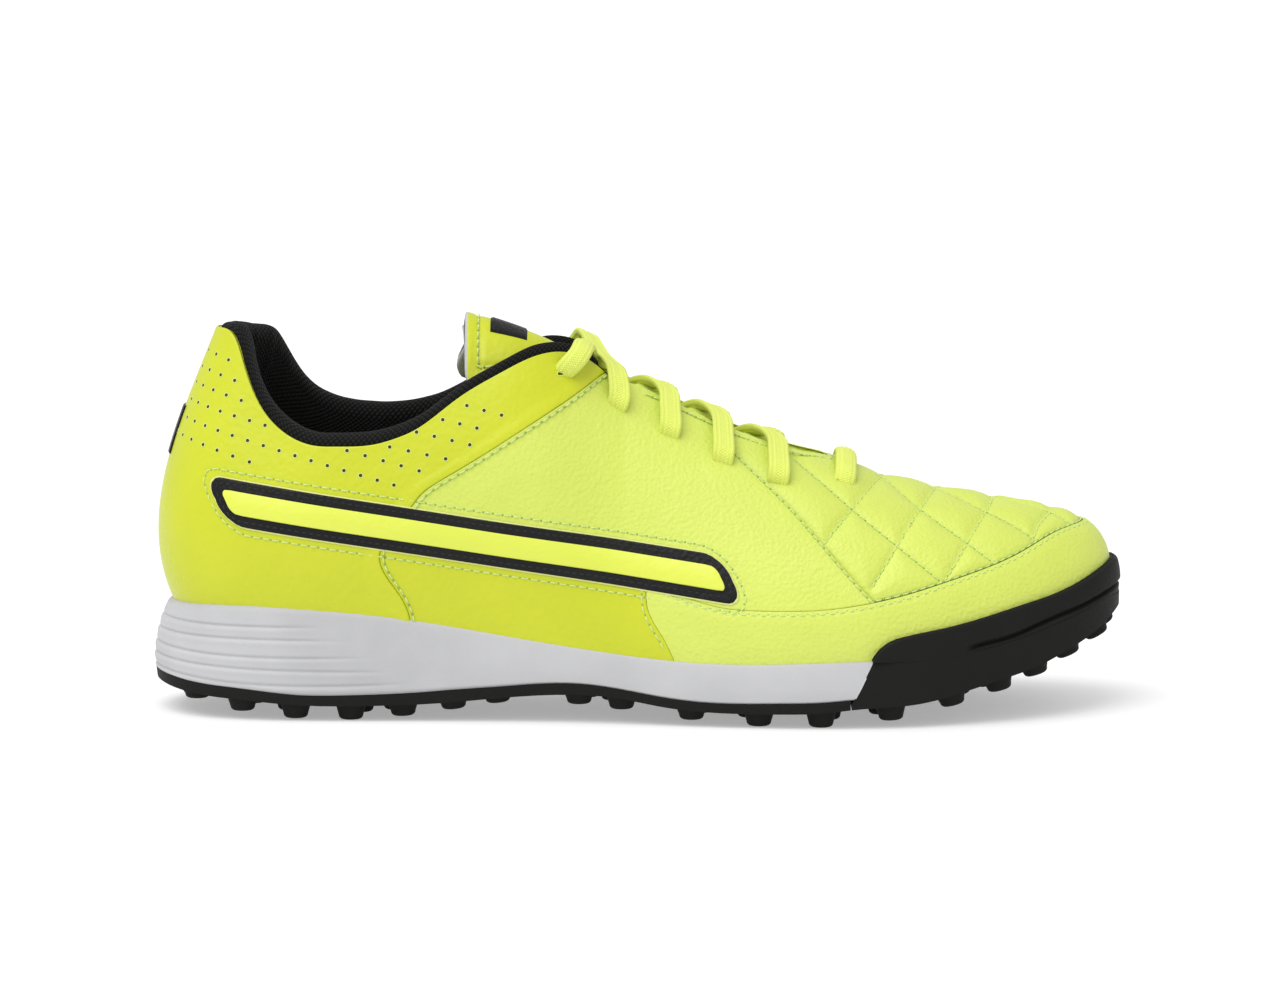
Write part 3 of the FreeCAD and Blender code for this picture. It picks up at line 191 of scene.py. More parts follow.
def base(s, v):
    """The outer skin's point: a cubic section from the feather line to the ridge, on the ray at s."""
    s, v = np.broadcast_arrays(np.asarray(s, float), np.asarray(v, float))
    x, cx, cy, dx, dy, r = ray(s)
    z0 = FEATHER_Z(x)
    inner = (np.asarray(s, float) + 1) % 2 >= 1
    q3, z3 = r * np.maximum(0.0, TOP_SHARE(x)), np.where(inner, TOP_Z[MEDIAL](x), TOP_Z[LATERAL](x))
    lean, reach = np.radians(np.maximum(0.0, TOP_LEAN(x))), TOP_REACH(x)
    fall = TOP_Z[LATERAL].slope(x) / SPINE_SHARE * dx * smooth((x + 24) / 20)
    w = 1 - v
    k0, k1, k2, k3 = w**3, 3 * w * w * v, 3 * w * v * v, v**3
    q = k0 * r + k1 * (r + BULGE(x)) + k2 * (q3 + reach * np.cos(lean)) + k3 * q3
    z = k0 * z0 + k1 * (z0 + RISE(x)) + k2 * (z3 - reach * np.sin(lean) + fall * reach) + k3 * z3
    return np.stack([cx + dx * q, cy + dy * q, z], -1)


def unit(a):
    return a / np.maximum(np.linalg.norm(a, axis=-1, keepdims=True), 1e-12)


def gone_along(points):
    """The length run along a line of points, at each of them. It takes rows of them side by side too."""
    points = np.asarray(points, float)
    steps = np.linalg.norm(np.diff(points, axis=0), axis=-1)
    return np.concatenate([np.zeros((1,) + steps.shape[1:]), np.cumsum(steps, axis=0)])


def normal(s, v):
    """The skin's outward direction."""
    s, v = np.broadcast_arrays(np.asarray(s, float), np.asarray(v, float))
    e = 1e-4
    top = np.minimum(v + e, 1)
    n = unit(np.cross(base(s + e, v) - base(s - e, v), base(s, top) - base(s, top - 2 * e)))
    slope = TOP_Z[LATERAL].slope(ray(s)[0]) / SPINE_SHARE
    ridge = unit(np.stack([-slope, 0 * slope, 0 * slope + 1], -1))
    return np.where(((v > 0.99) & (np.abs(s) < 0.1))[..., None], ridge, n)


def skin(s, v, off=0.0):
    return base(s, v) + normal(s, v) * np.asarray(off, float)[..., None]


def solve(f, lo, hi):
    """The roots of f between lo and hi, item by item, where f(lo) and f(hi) differ in sign."""
    lo, hi = np.broadcast_arrays(np.asarray(lo, float), np.asarray(hi, float))
    lo, hi = lo.copy(), hi.copy()
    above = f(lo) > 0
    for _ in range(34):
        mid = (lo + hi) / 2
        same = (f(mid) > 0) == above
        lo, hi = np.where(same, mid, lo), np.where(same, hi, mid)
    return (lo + hi) / 2


def locate(side, x, z):
    """The (s, v) of the skin's points at those x and heights on one side, by Newton's method."""
    x, z = np.atleast_1d(np.asarray(x, float)), np.atleast_1d(np.asarray(z, float))
    gu, gv = [g.ravel() for g in np.meshgrid(np.arange(2, 40) / 40, np.arange(0, 20) / 20)]
    net = base(side * gu, gv)
    near = np.argmin((net[:, 0] - x[:, None]) ** 2 + (net[:, 2] - z[:, None]) ** 2, axis=1)
    u, v = gu[near], gv[near]
    e = 1e-5
    for _ in range(25):
        p = base(side * u, v)
        a, b = (base(side * (u + e), v) - p) / e, (base(side * u, v + e) - p) / e
        det = a[:, 0] * b[:, 2] - a[:, 2] * b[:, 0]
        rx, rz = x - p[:, 0], z - p[:, 2]
        u = np.clip(u + (rx * b[:, 2] - rz * b[:, 0]) / det, 0.001, 0.999)
        v = np.clip(v + (a[:, 0] * rz - a[:, 2] * rx) / det, -0.2, 1.0)
    return np.stack([side * u, v], -1)


def edge_height(side, u):
    """The v of the leather's top edge: 1 where the upper is closed over the toes."""
    def collar(v):
        p = base(side * u, v)
        return p[..., 2] - COLLAR_Z[side](p[..., 0])

    def throat(v):
        p = base(side * u, v)
        return THROAT_Y(p[..., 0]) - np.abs(p[..., 1] - SPINE_Y(p[..., 0]))

    blend = smooth((base(side * u, 0.9)[..., 0] - THROAT_BACK + 5) / 8)
    open_throat = np.where(throat(1.0) > 0, solve(throat, 0.3 + 0 * u, 1.0), 1.0)
    v = (1 - blend) * solve(collar, 0.2 + 0 * u, 1.0) + blend * open_throat
    return np.where(ray(side * u)[1] > THROAT_FRONT, 1.0, v)


EDGE_AT = np.arange(8, 121) / 120
EDGE = {side: Curve(*zip(EDGE_AT, edge_height(side, EDGE_AT))) for side in BOTH}


def edge_v(s):
    s = (np.asarray(s, float) + 1) % 2 - 1
    u = np.abs(s)
    return np.minimum(1.0, np.where(s >= 0, EDGE[MEDIAL](u), EDGE[LATERAL](u)))


def low_v(s):
    """The v, below the feather line, at which the upper's hidden margin reaches the footbed board."""
    x = ray(s)[0]
    return -(FEATHER_Z(x) - FOOTBED_Z(x) - BOARD - 0.4) / (3 * RISE(x))


def drop(s, v, length):
    """The v that lies a length along the section below v."""
    s, v, length = np.broadcast_arrays(*[np.asarray(a, float) for a in (s, v, length)])
    steps = 0.01 * np.arange(111)
    levels = np.maximum(v.ravel() - steps[:, None], -0.15)
    gone = gone_along(base(s.ravel(), levels))
    flat = [np.interp(*item) for item in zip(length.ravel(), gone.T, levels.T)]
    return np.array(flat).reshape(v.shape)


def at_x(side, x):
    """The u at which the leather's edge passes x."""
    return solve(lambda u: base(side * u, edge_v(side * u))[..., 0] - x, 0.12, 0.97)


# ---- outlines in (s, v) -------------------------------------------------------------------------

def line(points):
    """A smooth line through points of any dimension, by the share of its length."""
    points = np.asarray(points, float)
    share = gone_along(points)
    curves = [Curve(*zip(share / share[-1], points[:, k])) for k in range(points.shape[1])]
    return lambda t: np.stack([c(np.asarray(t, float)) for c in curves], -1)


def coons(bottom, top, left, right):
    """A patch between four lines: bottom and top run with a, left and right with b."""
    def at(a, b):
        a, b = np.broadcast_arrays(np.asarray(a, float), np.asarray(b, float))
        wa, wb = a[..., None], b[..., None]
        return ((1 - wb) * bottom(a) + wb * top(a) + (1 - wa) * left(b) + wa * right(b)
                - (1 - wa) * (1 - wb) * bottom(0.0) - wa * (1 - wb) * bottom(1.0)
                - (1 - wa) * wb * top(0.0) - wa * wb * top(1.0))
    return at


def plan(place):
    """The skin unrolled over its ridge: distance from the spine is the length along the section there."""
    x, cx, cy, dx, dy, r = ray(place[..., 0])
    d = (1 - place[..., 1]) * 3 * TOP_REACH(x)
    return np.stack([cx + dx * d, cy + dy * d], -1)


def from_plan(p):
    """The (s, v) whose unrolled point is p."""
    px, py = p[..., 0], p[..., 1]
    side = np.where(py >= SPINE_Y(px), MEDIAL, LATERAL)

    def off_ray(u):
        x, cx, cy, dx, dy, r = ray(side * u)
        return (dx * (py - cy) - dy * (px - cx)) * side

    on_spine = (np.abs(py - SPINE_Y(px)) < 0.4) & (px < ray(0.0)[1])
    u = np.where(on_spine, solve(lambda t: ray(side * t)[1] - px, 0 * px, 0.75),
                 solve(off_ray, 0.75 + 0 * px, 1e-4))
    x, cx, cy, dx, dy, r = ray(side * u)
    d = np.maximum(0.0, (px - cx) * dx + (py - cy) * dy)
    return np.stack([side * u, 1 - d / (3 * TOP_REACH(x))], -1)


def on_edge(side, u0, u1):
    """The leather's top edge from u0 to u1."""
    def at(t):
        s = side * (u0 + (u1 - u0) * np.asarray(t, float))
        return np.stack([s, edge_v(s)], -1)
    return at


def along_low(side, u0, u1):
    """The upper's bottom line from u0 to u1."""
    def at(t):
        s = side * (u0 + (u1 - u0) * np.asarray(t, float))
        return np.stack([s, low_v(s)], -1)
    return at


def stations(side, points):
    """The (s, v) of each (x, z) point on one side."""
    x, z = np.array(points, float).T
    return list(locate(side, x, z))


def seam(side, points, first=None, last=None):
    """A seam through (x, z) stations on one side, with optional (s, v) ends."""
    places = stations(side, points)
    return line(([first] if first is not None else []) + places + ([last] if last is not None else []))


def low_end(side, x):
    """The upper's bottom line's (s, v) at x."""
    u = solve(lambda t: ray(side * t)[0] - x, 0.02, 0.98)
    return np.array([side * u, low_v(side * u)])


def edge_end(side, x):
    """The leather's top edge's (s, v) at x."""
    u = at_x(side, x)
    return np.array([side * u, edge_v(side * u)])


def rand_line():
    """The rand's upper line round the toe, from the outer side to the inner side."""
    tip = solve(lambda v: base(0.0, v)[..., 0] - RAND_TIP, 0.3, 0.99)
    return line(stations(LATERAL, RAND_TOP) + [np.array([0.0, tip])] + stations(MEDIAL, RAND_TOP)[::-1])


# ---- meshes -------------------------------------------------------------------------------------

def to_world(points):
    return (np.asarray(points, float) + CENTRING) * MM


def add_mesh(name, points, faces, material, materials=(), uv=None):
    """A smooth-shaded mesh from points in millimetres. materials holds one index per face, or nothing, and
    uv two lengths in metres per point, for weaves that run along the piece."""
    mesh = bpy.data.meshes.new(name)
    mesh.from_pydata(to_world(points).tolist(), [], [list(map(int, f)) for f in faces])
    if uv is not None:
        corner = np.empty(len(mesh.loops), np.int32)
        mesh.loops.foreach_get("vertex_index", corner)
        mesh.uv_layers.new(name="run").data.foreach_set("uv", np.asarray(uv, float)[corner].ravel())
    for m in np.atleast_1d(material):
        mesh.materials.append(m)
    mesh.polygons.foreach_set("use_smooth", [True] * len(mesh.polygons))
    if len(materials):
        mesh.polygons.foreach_set("material_index", np.asarray(materials, np.int32))
    mesh.update()
    obj = bpy.data.objects.new(name, mesh)
    bpy.context.scene.collection.objects.link(obj)
    return obj


def settle(obj, nodes=(), body="shoe"):
    """The piece rides on its body and stands for its CAD nodes."""
    if body:
        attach(obj, body)
    if nodes:
        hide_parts(*nodes)
    return obj


def closed_piece(name, points, faces, material, slot, nodes=(), body="shoe", marks=(), uv=None):
    """A closed mesh with its faces turned outwards, as a piece on its body."""
    obj = add_mesh(name, points, faces, material, marks, uv)
    fix_normals(obj)
    return settle(obj, nodes, body)


def grid_faces(rows, columns, start=0, flip=False):
    """The quads of a grid of points, row by row."""
    i, j = np.arange(rows - 1)[:, None], np.arange(columns - 1)
    first = start + i * columns + j
    quads = np.stack([first, first + columns, first + columns + 1, first + 1], -1).reshape(-1, 4)
    return quads[:, ::-1] if flip else quads


def ring_faces(rings, count, flip=False, closed=False):
    """The quads between rings of that many points. closed joins the last ring to the first."""
    i, j = np.arange(rings if closed else rings - 1)[:, None], np.arange(count)
    k, after = (i + 1) % rings, (j + 1) % count
    quads = np.stack([i * count + j, i * count + after, k * count + after, k * count + j], -1).reshape(-1, 4)
    return quads[:, [0, 3, 2, 1]] if flip else quads


def rim_of(rows, columns):
    """The indices of a grid's border points, once round."""
    top = [(0, j) for j in range(columns)]
    right = [(i, columns - 1) for i in range(1, rows)]
    low = [(rows - 1, j) for j in range(columns - 2, -1, -1)]
    left = [(i, 0) for i in range(rows - 2, 0, -1)]
    return np.array([i * columns + j for i, j in top + right + low + left])


def closed_sheet(outer, inner):
    """Points and faces of a closed shell from two point grids of one size."""
    rows, columns = outer.shape[:2]
    count = rows * columns
    rim = rim_of(rows, columns)
    after = np.roll(rim, -1)
    walls = np.stack([rim, rim + count, after + count, after], -1)
    faces = np.concatenate([grid_faces(rows, columns), grid_faces(rows, columns, count, True), walls])
    return np.concatenate([outer.reshape(-1, 3), inner.reshape(-1, 3)]), faces


EDGE_STEPS = (0.0, 0.06, 0.18, 0.36, 0.62, 0.95, 1.4)


def shares(length, step, fine=(True, True)):
    """Parameters over a side of that length: fine near its ends, for a rounded edge, and even between."""
    t = list(np.linspace(0, 1, max(2, int(round(length / step))) + 1))
    near = [e / length for e in EDGE_STEPS]
    first = [x for x in t if x > near[-1] + 0.3 * step / length] if fine[0] else t
    t = (near if fine[0] else []) + first
    if fine[1]:
        t = [x for x in t if x < 1 - near[-1] - 0.3 * step / length] + [1 - x for x in near[::-1]]
    return np.array(t)


def sides_away(points):
    """For each point of a grid, how far it lies from the grid's first and last row and column."""
    a = gone_along(points)
    b = gone_along(points.transpose(1, 0, 2)).T
    return a, a[-1:] - a, b, b[:, -1:] - b


def rounded(d, radius):
    """How far a rounded edge lies below its face at a distance d from the rim."""
    k = np.clip(1 - d / radius, 0, 1)
    return radius * (1 - np.sqrt(np.maximum(1 - k * k, 0)))


def near_line(points, path):
    """The distance of each point to a polyline."""
    flat = points.reshape(-1, 3)
    best = np.full(len(flat), 1e9)
    for a, b in zip(path[:-1], path[1:]):
        ab = b - a
        t = np.clip(((flat - a) @ ab) / max(ab @ ab, 1e-9), 0, 1)
        best = np.minimum(best, np.linalg.norm(flat - a - t[:, None] * ab, axis=1))
    return best.reshape(points.shape[:-1])


def patch_size(at):
    """The greatest length of a patch along a and along b."""
    t, k = np.linspace(0, 1, 60), np.array([0.02, 0.5, 0.98])
    along = [gone_along(base(*at(t, v).T))[-1] for v in k]
    up = [gone_along(base(*at(u, t).T))[-1] for u in k]
    return max(along), max(up)


def panel(name, at, material, slot, nodes=(), step=1.3, radius=0.55, thick=1.4, level=0.0, raise_by=None,
          relief=None, fine=(True, True, True, True), size=None):
    """A leather panel over a patch: a closed sheet with rounded rims. level lifts it off the skin,
    raise_by(points, away) lifts parts of its face, and relief(points) presses lines into it."""
    size = size or patch_size(at)
    ta, tb = shares(size[0], step, fine[:2]), shares(size[1], step, fine[2:])
    place = at(ta[:, None], tb[None, :])
    s, v = place[..., 0], place[..., 1]
    p, n = base(s, v), normal(s, v)
    away = sides_away(p)
    off = np.full(s.shape, float(level))
    for far, is_fine in zip(away, fine):
        if is_fine:
            off = np.minimum(off, level - rounded(far, radius))
    if raise_by:
        off = off + raise_by(p, away)
    if relief:
        off = off - relief(p)
    outer = p + n * off[..., None]
    inner = p + n * (np.minimum(off, level) * 0.3 + level * 0.7 - thick)[..., None]
    return closed_piece(name, *closed_sheet(outer, inner), material, slot, nodes)


def fix_normals(obj):
    """Turns the faces so that the mesh's volume is positive."""
    mesh = obj.data
    co = np.empty(len(mesh.vertices) * 3)
    mesh.vertices.foreach_get("co", co)
    co = co.reshape(-1, 3)
    mesh.calc_loop_triangles()
    tri = np.empty(len(mesh.loop_triangles) * 3, np.int32)
    mesh.loop_triangles.foreach_get("vertices", tri)
    a, b, c = co[tri.reshape(-1, 3)].transpose(1, 0, 2)
    if np.einsum("ij,ij->", a, np.cross(b, c)) < 0:
        mesh.flip_normals()


# ---- materials ----------------------------------------------------------------------------------

class Finish:
    """A material on the Principled shader, with its textures in the object's own space."""

    def __init__(self, name):
        self.material = bpy.data.materials.new(name)
        self.material.use_nodes = True
        self.tree = self.material.node_tree
        self.shader = self.tree.nodes["Principled BSDF"]
        self.coords = self.add("ShaderNodeTexCoord").outputs

    def add(self, kind, **settings):
        node = self.tree.nodes.new(kind)
        for key, value in settings.items():
            node.inputs[key].default_value = value
        return node

    def link(self, source, socket):
        self.tree.links.new(source, socket)

    def noise(self, scale, **settings):
        texture = self.add("ShaderNodeTexNoise", Scale=scale, **settings)
        self.link(self.coords["Object"], texture.inputs["Vector"])
        return texture.outputs["Fac"]

    def ramp(self, socket, source, low, high):
        """Feeds a socket from a texture, through two (place, colour or grey) stops."""
        node = self.add("ShaderNodeValToRGB")
        self.link(source, node.inputs["Fac"])
        for element, (place, colour) in zip(node.color_ramp.elements, (low, high)):
            element.position = place
            element.color = (*np.broadcast_to(colour, 3), 1)
        self.link(node.outputs["Color"], self.shader.inputs[socket])

    def bump(self, height, strength, distance):
        """Raises the surface by a texture, on top of the bumps it has already."""
        node = self.add("ShaderNodeBump", Strength=strength, Distance=distance)
        self.link(height, node.inputs["Height"])
        normals = self.shader.inputs["Normal"]
        if normals.links:
            self.link(normals.links[0].from_socket, node.inputs["Normal"])
        self.link(node.outputs["Normal"], normals)

    def fixed(self, **values):
        """Sets sockets of the shader, named with _ for each space."""
        for key, value in values.items():
            self.shader.inputs[key.replace("_", " ")].default_value = value
        return self.material


def leather(name, colour, deep, pebble, grain=0.5, rough=0.42, gloss=0.4):
    """Coated leather: a pebbled grain of that size in metres, over soft creases, with a slight mottle."""
    finish = Finish(name)
    cells = finish.add("ShaderNodeTexVoronoi", Scale=1 / pebble)
    cells.feature = "SMOOTH_F1"
    finish.link(finish.coords["Object"], cells.inputs["Vector"])
    fine = finish.noise(2.6 / pebble, Detail=4.0)
    finish.ramp("Base Color", finish.noise(22.0, Detail=5.0), (0.35, deep), (0.65, colour))
    finish.ramp("Roughness", fine, (0.3, rough - 0.06), (0.7, rough + 0.1))
    finish.bump(finish.noise(90.0, Detail=3.0, Distortion=0.4), 0.25, 0.0008)
    finish.bump(cells.outputs["Distance"], grain, 0.00045)
    finish.bump(fine, grain * 0.8, 0.00022)
    return finish.fixed(Specular_IOR_Level=gloss)


def rubber(name, colour, grain, rough=0.55, gloss=0.25):
    """Moulded rubber or foam with a fine matt texture."""
    finish = Finish(name)
    fine = finish.noise(1 / grain, Detail=6.0)
    darker = tuple(c * 0.9 for c in colour)
    finish.ramp("Base Color", finish.noise(35.0, Detail=4.0), (0.35, darker), (0.65, colour))
    finish.ramp("Roughness", fine, (0.3, rough - 0.08), (0.7, rough + 0.12))
    finish.bump(fine, 0.4, 0.00016)
    return finish.fixed(Specular_IOR_Level=gloss)


def cloth(name, colour, deep, grain):
    """Fabric or felt: a fine fibre noise in colour and height, with a little sheen."""
    finish = Finish(name)
    fibre = finish.noise(1 / grain, Detail=5.0, Distortion=0.6)
    finish.ramp("Base Color", fibre, (0.35, deep), (0.62, colour))
    finish.bump(fibre, 0.5, 0.0002)
    return finish.fixed(Roughness=0.85, Sheen_Weight=0.15, Specular_IOR_Level=0.2)


def knit(name, colour, deep, pitch, depth=0.0004, sheen=0.05, gloss=0.2):
    """A knitted or woven face in rows along the piece's own run: raised bumps, each other row shifted. The
    valleys between the bumps take the darker deep colour as painted shade.
    """
    finish = Finish(name)
    apart = finish.add("ShaderNodeSeparateXYZ")
    finish.link(finish.coords["UV"], apart.inputs["Vector"])

    def combined(operation, a, b=None):
        node = finish.add("ShaderNodeMath")
        node.operation = operation
        for socket, value in zip(node.inputs, (a, b)):
            if isinstance(value, float):
                socket.default_value = value
            elif value is not None:
                finish.link(value, socket)
        return node.outputs[0]

    waves = []
    for sign in (1, -1):
        u = combined("MULTIPLY", apart.outputs["X"], math.pi / pitch[0])
        v = combined("MULTIPLY", apart.outputs["Y"], sign * math.pi / pitch[1])
        waves.append(combined("SINE", combined("ADD", u, v)))
    lattice = combined("ABSOLUTE", combined("MULTIPLY", *waves))
    # Painted shade: where the lattice is low, in the valleys between the raised bumps, the face takes the
    # darker deep colour.
    finish.ramp("Base Color", lattice, (0.08, deep), (0.45, colour))
    finish.bump(lattice, 0.9, depth)
    return finish.fixed(Roughness=0.75, Sheen_Weight=sheen, Specular_IOR_Level=gloss)


# ---- seen from the side -------------------------------------------------------------------------

CAMERA_TILT, CAMERA_FAR, CAMERA_LENS = math.radians(7.0), 2.0, 186.07
AIM_X_SHIFT, AIM_Z = 0.0005, 0.0624
# Each lamp's name, kind, place, power, and the setting that makes it soft, with its value.
LAMPS = (("sun", "SUN", (-0.45, -0.5, 1.4), 1.8, "angle", math.radians(50)),
         ("key", "AREA", (-0.4, -1.0, 0.9), 1.6, "size", 0.8))
WORLD_LIGHT, FLOOR_GLOW = 0.75, 0.36
FLOOR_HALF, FLOOR_POINTS, FLOOR_DROP = 6000.0, 25, 0.05


def surround():
    """The camera at the height and distance of a product shot, soft lights, and a pale floor."""
    scene = bpy.context.scene
    low, high = (np.array(c) for c in cad_box)
    aim = np.array([(low[0] + high[0]) / 2 + AIM_X_SHIFT, (low[1] + high[1]) / 2, AIM_Z])
    camera = bpy.data.objects.new("camera", bpy.data.cameras.new("camera"))
    camera.location = aim + CAMERA_FAR * np.array([0, -math.cos(CAMERA_TILT), math.sin(CAMERA_TILT)])
    camera.rotation_euler = (math.pi / 2 - CAMERA_TILT, 0, 0)
    camera.data.lens, camera.data.sensor_width = CAMERA_LENS, 36.0
    scene.collection.objects.link(camera)
    scene.camera = camera

    for name, kind, place, power, softness, value in LAMPS:
        lamp = bpy.data.lights.new(name, kind)
        lamp.energy = power
        setattr(lamp, softness, value)
        obj = bpy.data.objects.new(name, lamp)
        obj.location = place
        x, y, z = aim - np.array(place)
        up, turn = math.atan2(z, math.hypot(x, y)), math.atan2(y, x)
        obj.rotation_euler = (math.pi / 2 + up, 0, turn - math.pi / 2)
        scene.collection.objects.link(obj)
    scene.world = bpy.data.worlds.new("studio")
    scene.world.use_nodes = True
    background = scene.world.node_tree.nodes["Background"]
    background.inputs["Color"].default_value = (1.0, 1.0, 1.0, 1)
    background.inputs["Strength"].default_value = WORLD_LIGHT
    scene.view_settings.view_transform = "Standard"

    finish = Finish("floor")
    finish.ramp("Base Color", finish.noise(40.0, Detail=2.0), (0.3, (0.625, 0.625, 0.63)),
                (0.7, (0.635, 0.635, 0.64)))
    material = finish.fixed(Roughness=0.6, Emission_Color=(1.0, 1.0, 1.0, 1.0), Emission_Strength=FLOOR_GLOW)
    line_up = np.linspace(-FLOOR_HALF, FLOOR_HALF, FLOOR_POINTS)
    x, y = np.meshgrid(line_up, line_up, indexing="ij")
    points = np.stack([x, y, 0 * x - FLOOR_DROP], -1).reshape(-1, 3)
    add_mesh("floor", points, grid_faces(FLOOR_POINTS, FLOOR_POINTS), material)


# ---- the upper's panels -------------------------------------------------------------------------

def side_patches(side):
    """The three patches of one side, as in the CAD part."""
    seam_top, edge_split = edge_end(side, HEEL_SEAM_TOP), edge_end(side, VAMP_SEAM_TOP)
    low_rear, low_front = low_end(side, -67.4), low_end(side, 12.1)
    heel_low = seam(side, HEEL_SEAM_LOW, first=low_rear)
    heel_high = seam(side, HEEL_SEAM, last=seam_top)
    whole = line(list(heel_low(np.arange(6) / 6)) + list(heel_high(np.arange(9) / 8)))
    back = 0.9998
    ends = np.array([side * back, low_v(side * back)]), np.array([side * back, edge_v(side * back)])
    heel = coons(along_low(side, back, abs(low_rear[0])), on_edge(side, back, abs(seam_top[0])), line(ends),
                 whole)
    mid_front = seam(side, MID_SEAM_LOW, first=low_front)
    middle = coons(along_low(side, abs(low_rear[0]), abs(low_front[0])), seam(side, MID_TOP), heel_low,
                   mid_front)
    quarter_low = seam(side, MID_TOP[:-1] + QUARTER_LOW)
    front = seam(side, VAMP_SEAM, last=edge_split)
    quarter = coons(quarter_low, on_edge(side, abs(seam_top[0]), abs(edge_split[0])), heel_high, front)
    return {"heel": heel, "middle": middle, "quarter": quarter,
            "heel_low": heel_low, "heel_high": heel_high, "mid_front": mid_front, "front": front}


def rand_patch():
    """The low strip from the midfoot round the toe, and its top line."""
    sides = {side: stations(side, QUARTER_LOW[:-1]) for side in BOTH}
    toe = list(rand_line()(np.arange(25) / 24))
    over = line(sides[LATERAL] + toe + sides[MEDIAL][::-1])
    ends = {side: low_end(side, 12.1) for side in BOTH}
    rear = {side: seam(side, MID_SEAM_LOW, first=ends[side]) for side in BOTH}

    def under(t):
        s = ends[LATERAL][0] + (ends[MEDIAL][0] - ends[LATERAL][0]) * np.asarray(t, float)
        return np.stack([s, low_v(s)], -1)
    return coons(under, over, rear[LATERAL], rear[MEDIAL]), over


WING = 0.3


def vamp_patch():
    """The toe piece between the rand's line and the quarters' seams and throat, in the unrolled plan."""
    outer = line(plan(rand_line()(np.linspace(0, 1, 41))))
    wings, rim = {}, []
    for side in BOTH:
        split_at = edge_end(side, VAMP_SEAM_TOP)
        rise = seam(side, VAMP_SEAM, last=split_at)
        wings[side] = line(plan(rise(np.arange(13) / 12)))
        nose = solve(lambda u: ray(u)[1] - THROAT_FRONT, 0.05, 0.9)
        u = np.linspace(abs(split_at[0]), nose, 13)
        half = plan(np.stack([side * u, edge_v(side * u)], -1))
        rim += list(half) if side == LATERAL else list(half[::-1])
    keep = [rim[0]]
    for p in rim[1:]:
        if np.linalg.norm(p - keep[-1]) > 0.3:
            keep.append(p)
    notch = line(keep)

    def inner(t):
        return np.where((t < WING)[..., None], wings[LATERAL](t / WING),
                        np.where((t > 1 - WING)[..., None], wings[MEDIAL]((1 - t) / WING),
                                 notch((t - WING) / (1 - 2 * WING))))

    def at(a, b):
        a, b = np.broadcast_arrays(np.asarray(a, float), np.asarray(b, float))
        t = 0.004 + 0.992 * a
        p, q = outer(t), inner(t)
        return from_plan(p + (q - p) * (0.003 + 0.994 * b)[..., None])
    return at


LIGHT = leather("leather_light", (0.60, 0.69, 0.115), (0.56, 0.655, 0.10), 0.0011)
SMOOTH = leather("leather_bright", (0.55, 0.595, 0.018), (0.50, 0.555, 0.014), 0.0019, grain=0.35, rough=0.36)
BLACK = leather("band_black", (0.007, 0.0075, 0.0072), (0.011, 0.012, 0.011), 0.0012, rough=0.34, gloss=0.16)
BAND_YELLOW = leather("band_yellow", (0.68, 0.75, 0.085), (0.64, 0.71, 0.075), 0.0016, grain=0.25, rough=0.34)
CUT = leather("cut_edge", (0.66, 0.70, 0.24), (0.6, 0.64, 0.2), 0.0009, rough=0.6)
# Painted shade: the dark discs laid in the punched holes and eyelet slits stand for the shadowed inside of
# each opening.
HOLE_SHADE = rubber("hole_shade", (0.05, 0.06, 0.02), 0.0008, gloss=0.05)
# Painted shade: the darker green disc between two stitches stands for the shade in the needle hole.
PRICK_SHADE = rubber("prick_shade", (0.32, 0.46, 0.10), 0.0008, gloss=0.1)
RUBBER = rubber("outsole_rubber", (0.0135, 0.0137, 0.0128), 0.0006, gloss=0.06)
FOAM_WHITE = rubber("midsole_foam", (0.485, 0.485, 0.50), 0.0005, rough=0.5)
# In the knit pieces the deep colour is painted shade in the weave's valleys.
MESH_BLACK = knit("mesh_black", (0.013, 0.014, 0.0125), (0.003, 0.003, 0.003), (0.0016, 0.0013), gloss=0.06)
LACE = knit("lace", (0.78, 0.86, 0.17), (0.62, 0.72, 0.11), (0.0009, 0.0007), depth=0.00015, sheen=0.1)
LINING_FABRIC = cloth("lining_fabric", (0.50, 0.53, 0.34), (0.42, 0.46, 0.26), 0.0009)
STIFF = cloth("stiffener", (0.62, 0.60, 0.54), (0.56, 0.54, 0.48), 0.0006)
BOARD_CLOTH = cloth("board", (0.66, 0.66, 0.62), (0.58, 0.58, 0.55), 0.0012)
SOCK = cloth("sockliner", (0.022, 0.022, 0.022), (0.012, 0.012, 0.012), 0.0008)
THREAD = cloth("thread", (0.62, 0.74, 0.27), (0.5, 0.64, 0.2), 0.0004)
THREAD_BLACK = cloth("thread_black", (0.012, 0.012, 0.012), (0.02, 0.02, 0.02), 0.0004)
BINDING = cloth("binding", (0.50, 0.50, 0.47), (0.43, 0.43, 0.40), 0.0005)

patches = {side: side_patches(side) for side in BOTH}


def ledge(k, height, width):
    """Lifts a panel's face along its k-th side, where it lies over its neighbour."""
    return lambda p, away: height * (1 - smooth((away[k] - 2.0) / width))


rand_at, rand_top = rand_patch()
HEEL_PATCH_S, HEEL_PATCH_V = (-0.9745, -0.051), (0.51, 0.165)


def heel_patch_at(a, b):
    """A rectangle in (s, v) over the back seam, from a first corner and two spans."""
    (s, width), (v, height) = HEEL_PATCH_S, HEEL_PATCH_V
    return np.stack(np.broadcast_arrays(s + width * a, v + height * b), -1)


# ---- the side band ------------------------------------------------------------------------------

BAND_CORNER = 5.5


